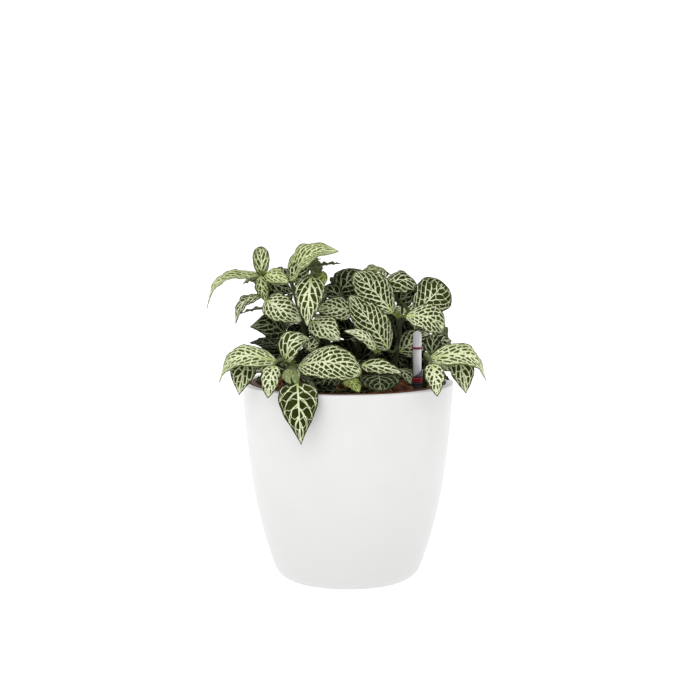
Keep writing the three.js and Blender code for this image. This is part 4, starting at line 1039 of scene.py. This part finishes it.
def culture_piece(material):
    """The culture pot: a rolled rim, four feet and eight slots near its floor."""
    foot = CULTURE_TOP - CULTURE_RIM_HEIGHT
    floor = CULTURE_BOTTOM + CULTURE_WALL
    inner = CULTURE_TOP_RADIUS - CULTURE_WALL
    skin = Skin()
    skin.add(*lathe([
        (0, CULTURE_BOTTOM),
        (CULTURE_BOTTOM_RADIUS - 1, CULTURE_BOTTOM),
        (CULTURE_BOTTOM_RADIUS, CULTURE_BOTTOM + 1),
        (culture_radius(foot - 1.4), foot - 1.4),
        (CULTURE_RIM_RADIUS - 0.2, foot - 0.1),
        (CULTURE_RIM_RADIUS, foot + 0.2),
        (CULTURE_RIM_RADIUS, CULTURE_TOP - 0.6),
        (CULTURE_RIM_RADIUS - 0.25, CULTURE_TOP - 0.15),
        (CULTURE_RIM_RADIUS - 0.7, CULTURE_TOP),
        (inner + 0.5, CULTURE_TOP),
        (inner + 0.1, CULTURE_TOP - 0.2),
        (inner, CULTURE_TOP - 0.6),
        (culture_radius(floor) - CULTURE_WALL, floor),
        (0, floor),
    ], 128))
    low, high = PLANTER_FLOOR + RUNNING_GAP, CULTURE_BOTTOM + 0.8
    profile = [(0, low), (CULTURE_FOOT_RADIUS - 0.5, low), (CULTURE_FOOT_RADIUS, low + 0.5),
               (CULTURE_FOOT_RADIUS, high), (0, high)]
    for x, y in arc(0, 0, CULTURE_FOOT_REACH, 45, 315, 3):
        skin.add(*lathe(profile, 24, x, y))
    pot = skin.piece("culture_pot_shell", [material])
    slots = bmesh.new()
    box = Matrix.Translation((0.055, 0, 0.033)) @ Matrix.Diagonal((0.045, 0.0026, 0.026, 1))
    for i in range(8):
        turn = Matrix.Rotation(math.pi / 4 * (i + 0.5), 4, "Z")
        bmesh.ops.create_cube(slots, size=1, matrix=turn @ box)
    cutter = linked("slots", bpy.data.meshes.new("slots"))
    slots.to_mesh(cutter.data)
    slots.free()
    cut = pot.modifiers.new("slots", "BOOLEAN")
    cut.object, cut.operation, cut.solver = cutter, "DIFFERENCE", "EXACT"
    keep_result(pot)
    bpy.data.objects.remove(cutter)
    return pot


def keep_result(piece):
    """Replaces the piece's mesh by what its modifiers make of it."""
    depsgraph = bpy.context.evaluated_depsgraph_get()
    result = bpy.data.meshes.new_from_object(piece.evaluated_get(depsgraph), depsgraph=depsgraph)
    piece.modifiers.clear()
    piece.data = result


def arc(x, y, radius, start, end, steps):
    """Points on an arc, with its angles in degrees."""
    angles = [math.radians(start + (end - start) * i / steps) for i in range(steps + 1)]
    return [(x + radius * math.cos(a), y + radius * math.sin(a)) for a in angles]


def collar_piece(material):
    """The indicator's collar, whose upper part is cut off obliquely and higher at the right."""
    low, wide = COLLAR_BOTTOM, COLLAR_RADIUS
    skin = Skin()
    skin.add(*lathe([
        (1.3, low), (3.6, low), (wide, low + 0.3), (wide, low + 1.0), (3.7, low + 1.15),
        (wide, low + 1.3), (wide, 134.4), (3.75, 134.6), (wide, 134.8), (wide, 136),
        (wide, COLLAR_TOP), (COLLAR_BORE, COLLAR_TOP), (COLLAR_BORE, 136), (COLLAR_BORE, 134.6),
        (1.3, 134.6), (1.3, low),
    ], 64, INDICATOR_X))
    collar = skin.piece("indicator_collar_ring", [material])
    form = bmesh.new()
    form.from_mesh(collar.data)
    bmesh.ops.remove_doubles(form, verts=form.verts, dist=1e-6)
    bmesh.ops.bisect_plane(form, geom=form.verts[:] + form.edges[:] + form.faces[:],
                           plane_co=Vector((INDICATOR_X + wide, 0, COLLAR_TOP)) * MM,
                           plane_no=(-0.62, 0, 1), clear_outer=True)
    bmesh.ops.bridge_loops(form, edges=[edge for edge in form.edges if edge.is_boundary])
    bmesh.ops.recalc_face_normals(form, faces=form.faces)
    form.to_mesh(collar.data)
    form.free()
    return collar


def indicator_pieces():
    """The indicator's pieces: each with its body, the CAD node it stands for and its slot."""
    black = moulded_material("indicator_black", (0.010, 0.010, 0.012), (0.022, 0.022, 0.026), 0.4)
    milky = moulded_material("indicator_clear", (0.86, 0.845, 0.91), (0.94, 0.93, 0.98), 0.3)
    violet = moulded_material("indicator_mark", (0.20, 0.018, 0.065), (0.30, 0.030, 0.10), 0.35)
    red = moulded_material("indicator_float", (0.42, 0.035, 0.035), (0.56, 0.055, 0.055), 0.4)
    housing = [(0, 64), (3.9, 64), (4.2, 64.3), (4.2, 129.6), (4.0, 130.0), (4.2, 130.2),
               *arc(3.6, 130.6, 0.6, 0, 90, 4), (1.5, 131.2), (1.3, 131), (1.3, 129.2),
               (3.2, 128.2), (3.2, 65.5), (0, 65.5)]
    clear = [(1.8, 134.9), (2.6, 134.9), (2.8, 135.1), (2.8, 158.7), *arc(0, 162.7, 2.8, 0, 88, 8),
             (0, 165.5), (0, 163.4), (1.1, 163), (1.8, 160.2), (1.8, 134.9)]
    mark = [(3.1, 153.6), (3.5, 153.6), (3.7, 153.8), (3.7, 154.8), (3.5, 155), (3.1, 155),
            (3.1, 153.6)]
    needle = [(0, 65.8), (2.1, 65.8), (2.6, 66.8), (2.6, 90.3), (2.3, 91), (0.8, 91.8),
              (0.8, 136.5), (0.5, 136.9), (0, 137)]

    def turned(name, profile, material, segments=64):
        return lathed_piece("indicator_" + name, profile, material, segments, INDICATOR_X)

    return [
        (turned("housing_shell", housing, black), "plant", "indicator_housing", "indicator_black"),
        (collar_piece(collar_material()), "plant", "indicator_collar", "indicator_red"),
        (turned("tube_shell", clear, milky), "plant", "indicator_tube", "indicator_clear"),
        (turned("mark_ring", mark, violet), "plant", "indicator_mark", "indicator_red"),
        (turned("float_needle", needle, red, 48), "float", "indicator_float", "indicator_float"),
    ]


# Camera, light and floor.

def add_camera():
    data = bpy.data.cameras.new("camera")
    data.sensor_width = SENSOR
    data.lens = FOCAL_PIXELS * SENSOR / PICTURE_SIZE
    data.shift_x = 0.5 - AXIS_PIXEL / PICTURE_SIZE
    data.clip_end = 20
    camera = linked("camera", data)
    camera.location = (0, -EYE_DISTANCE * MM, EYE_HEIGHT * MM)
    camera.rotation_euler = (math.radians(90 - PITCH_DEGREES), 0, 0)
    bpy.context.scene.camera = camera


def add_light(name, place, target, size, power):
    data = bpy.data.lights.new(name, "AREA")
    data.size = size
    data.energy = power
    light = linked(name, data)
    light.location = place
    light.rotation_euler = (Vector(target) - Vector(place)).to_track_quat("-Z", "Y").to_euler()


def add_world():
    """A white band round the horizon, and a dimmer sky over it."""
    world = bpy.data.worlds.new("studio")
    world.use_nodes = True
    graph = Graph(world.node_tree)
    height = graph.add("ShaderNodeTexCoord", {}).parts()[2]
    background = next(node for node in graph.tree.nodes if node.type == "BACKGROUND")
    graph.fill(background, {"Color": (1, 1, 1, 1), "Strength": height.step(0.22, 0.6, 1.04, 0.92)})
    bpy.context.scene.world = world


def add_floor():
    material, graph = new_material("floor")
    principled(material, graph, (0.5, 0.5, 0.5, 1), 0.9, Emission_Color=(1, 1, 1, 1),
               Emission_Strength=0.72)
    skin = Skin()
    corners = [(-1, -1, 0), (1, -1, 0), (1, 1, 0), (-1, 1, 0)]
    skin.add(np.array(corners) * FLOOR_REACH, [(0, 1, 2, 3)])
    skin.piece("floor", [material])


# The object.

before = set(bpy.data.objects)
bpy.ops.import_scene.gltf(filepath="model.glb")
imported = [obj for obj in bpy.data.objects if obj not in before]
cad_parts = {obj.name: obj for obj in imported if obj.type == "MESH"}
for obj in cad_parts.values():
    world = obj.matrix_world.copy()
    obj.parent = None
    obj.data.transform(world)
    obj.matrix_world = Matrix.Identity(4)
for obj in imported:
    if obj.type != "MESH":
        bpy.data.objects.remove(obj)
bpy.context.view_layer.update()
bpy.context.scene.view_settings.view_transform = "Standard"

leaf_skin, stem_skin = leaf_material(), stem_material()
seed = 0.0
for shoot in SHOOTS:
    draw = np.random.default_rng(int(abs(shoot["root"][0]) * 7 + 3))
    routes = stem_routes(shoot)
    skin = Skin()
    add_stems(skin, shoot, routes, draw)
    for row in shoot["leaves"] + bud_leaves(shoot["name"]):
        seed += SEED_STEP
        stalk = STOUT_STALKS.get(shoot["name"], {}).get(row["name"], 1)
        add_leaf(skin, row | dict(stalk=stalk), routes, seed, draw)
    piece = skin.piece("foliage_" + shoot["name"], [leaf_skin, stem_skin], values=True)
    quilt(piece)
    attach(piece, "plant")
    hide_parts("shoot_" + shoot["name"])

# The planter's foot colour is painted shade, darker towards the floor.
white = moulded_material("planter", (0.685, 0.685, 0.68), (0.70, 0.70, 0.695), 0.35, 0.08,
                         foot=(0.63, 0.63, 0.625))
brown = moulded_material("culture_pot", (0.070, 0.024, 0.009), (0.13, 0.044, 0.015), 0.6, 0.4,
                         Specular_IOR_Level=0.2)
pieces = [
    (lathed_piece("planter_shell", planter_profile(), white, 160),
     "plant", "planter", "planter_plastic"),
    (culture_piece(brown), "plant", "culture_pot", "culture_pot_plastic"),
    (granules_piece(clay_material()), "plant", "granules", "clay"),
    *indicator_pieces(),
]
for piece, body, node, slot in pieces:
    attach(piece, body)
    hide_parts(node)

add_floor()
add_camera()
add_world()
add_light("key", place=(-0.45, -0.9, 1.5), target=(0, 0, 0.13), size=1.4, power=7)
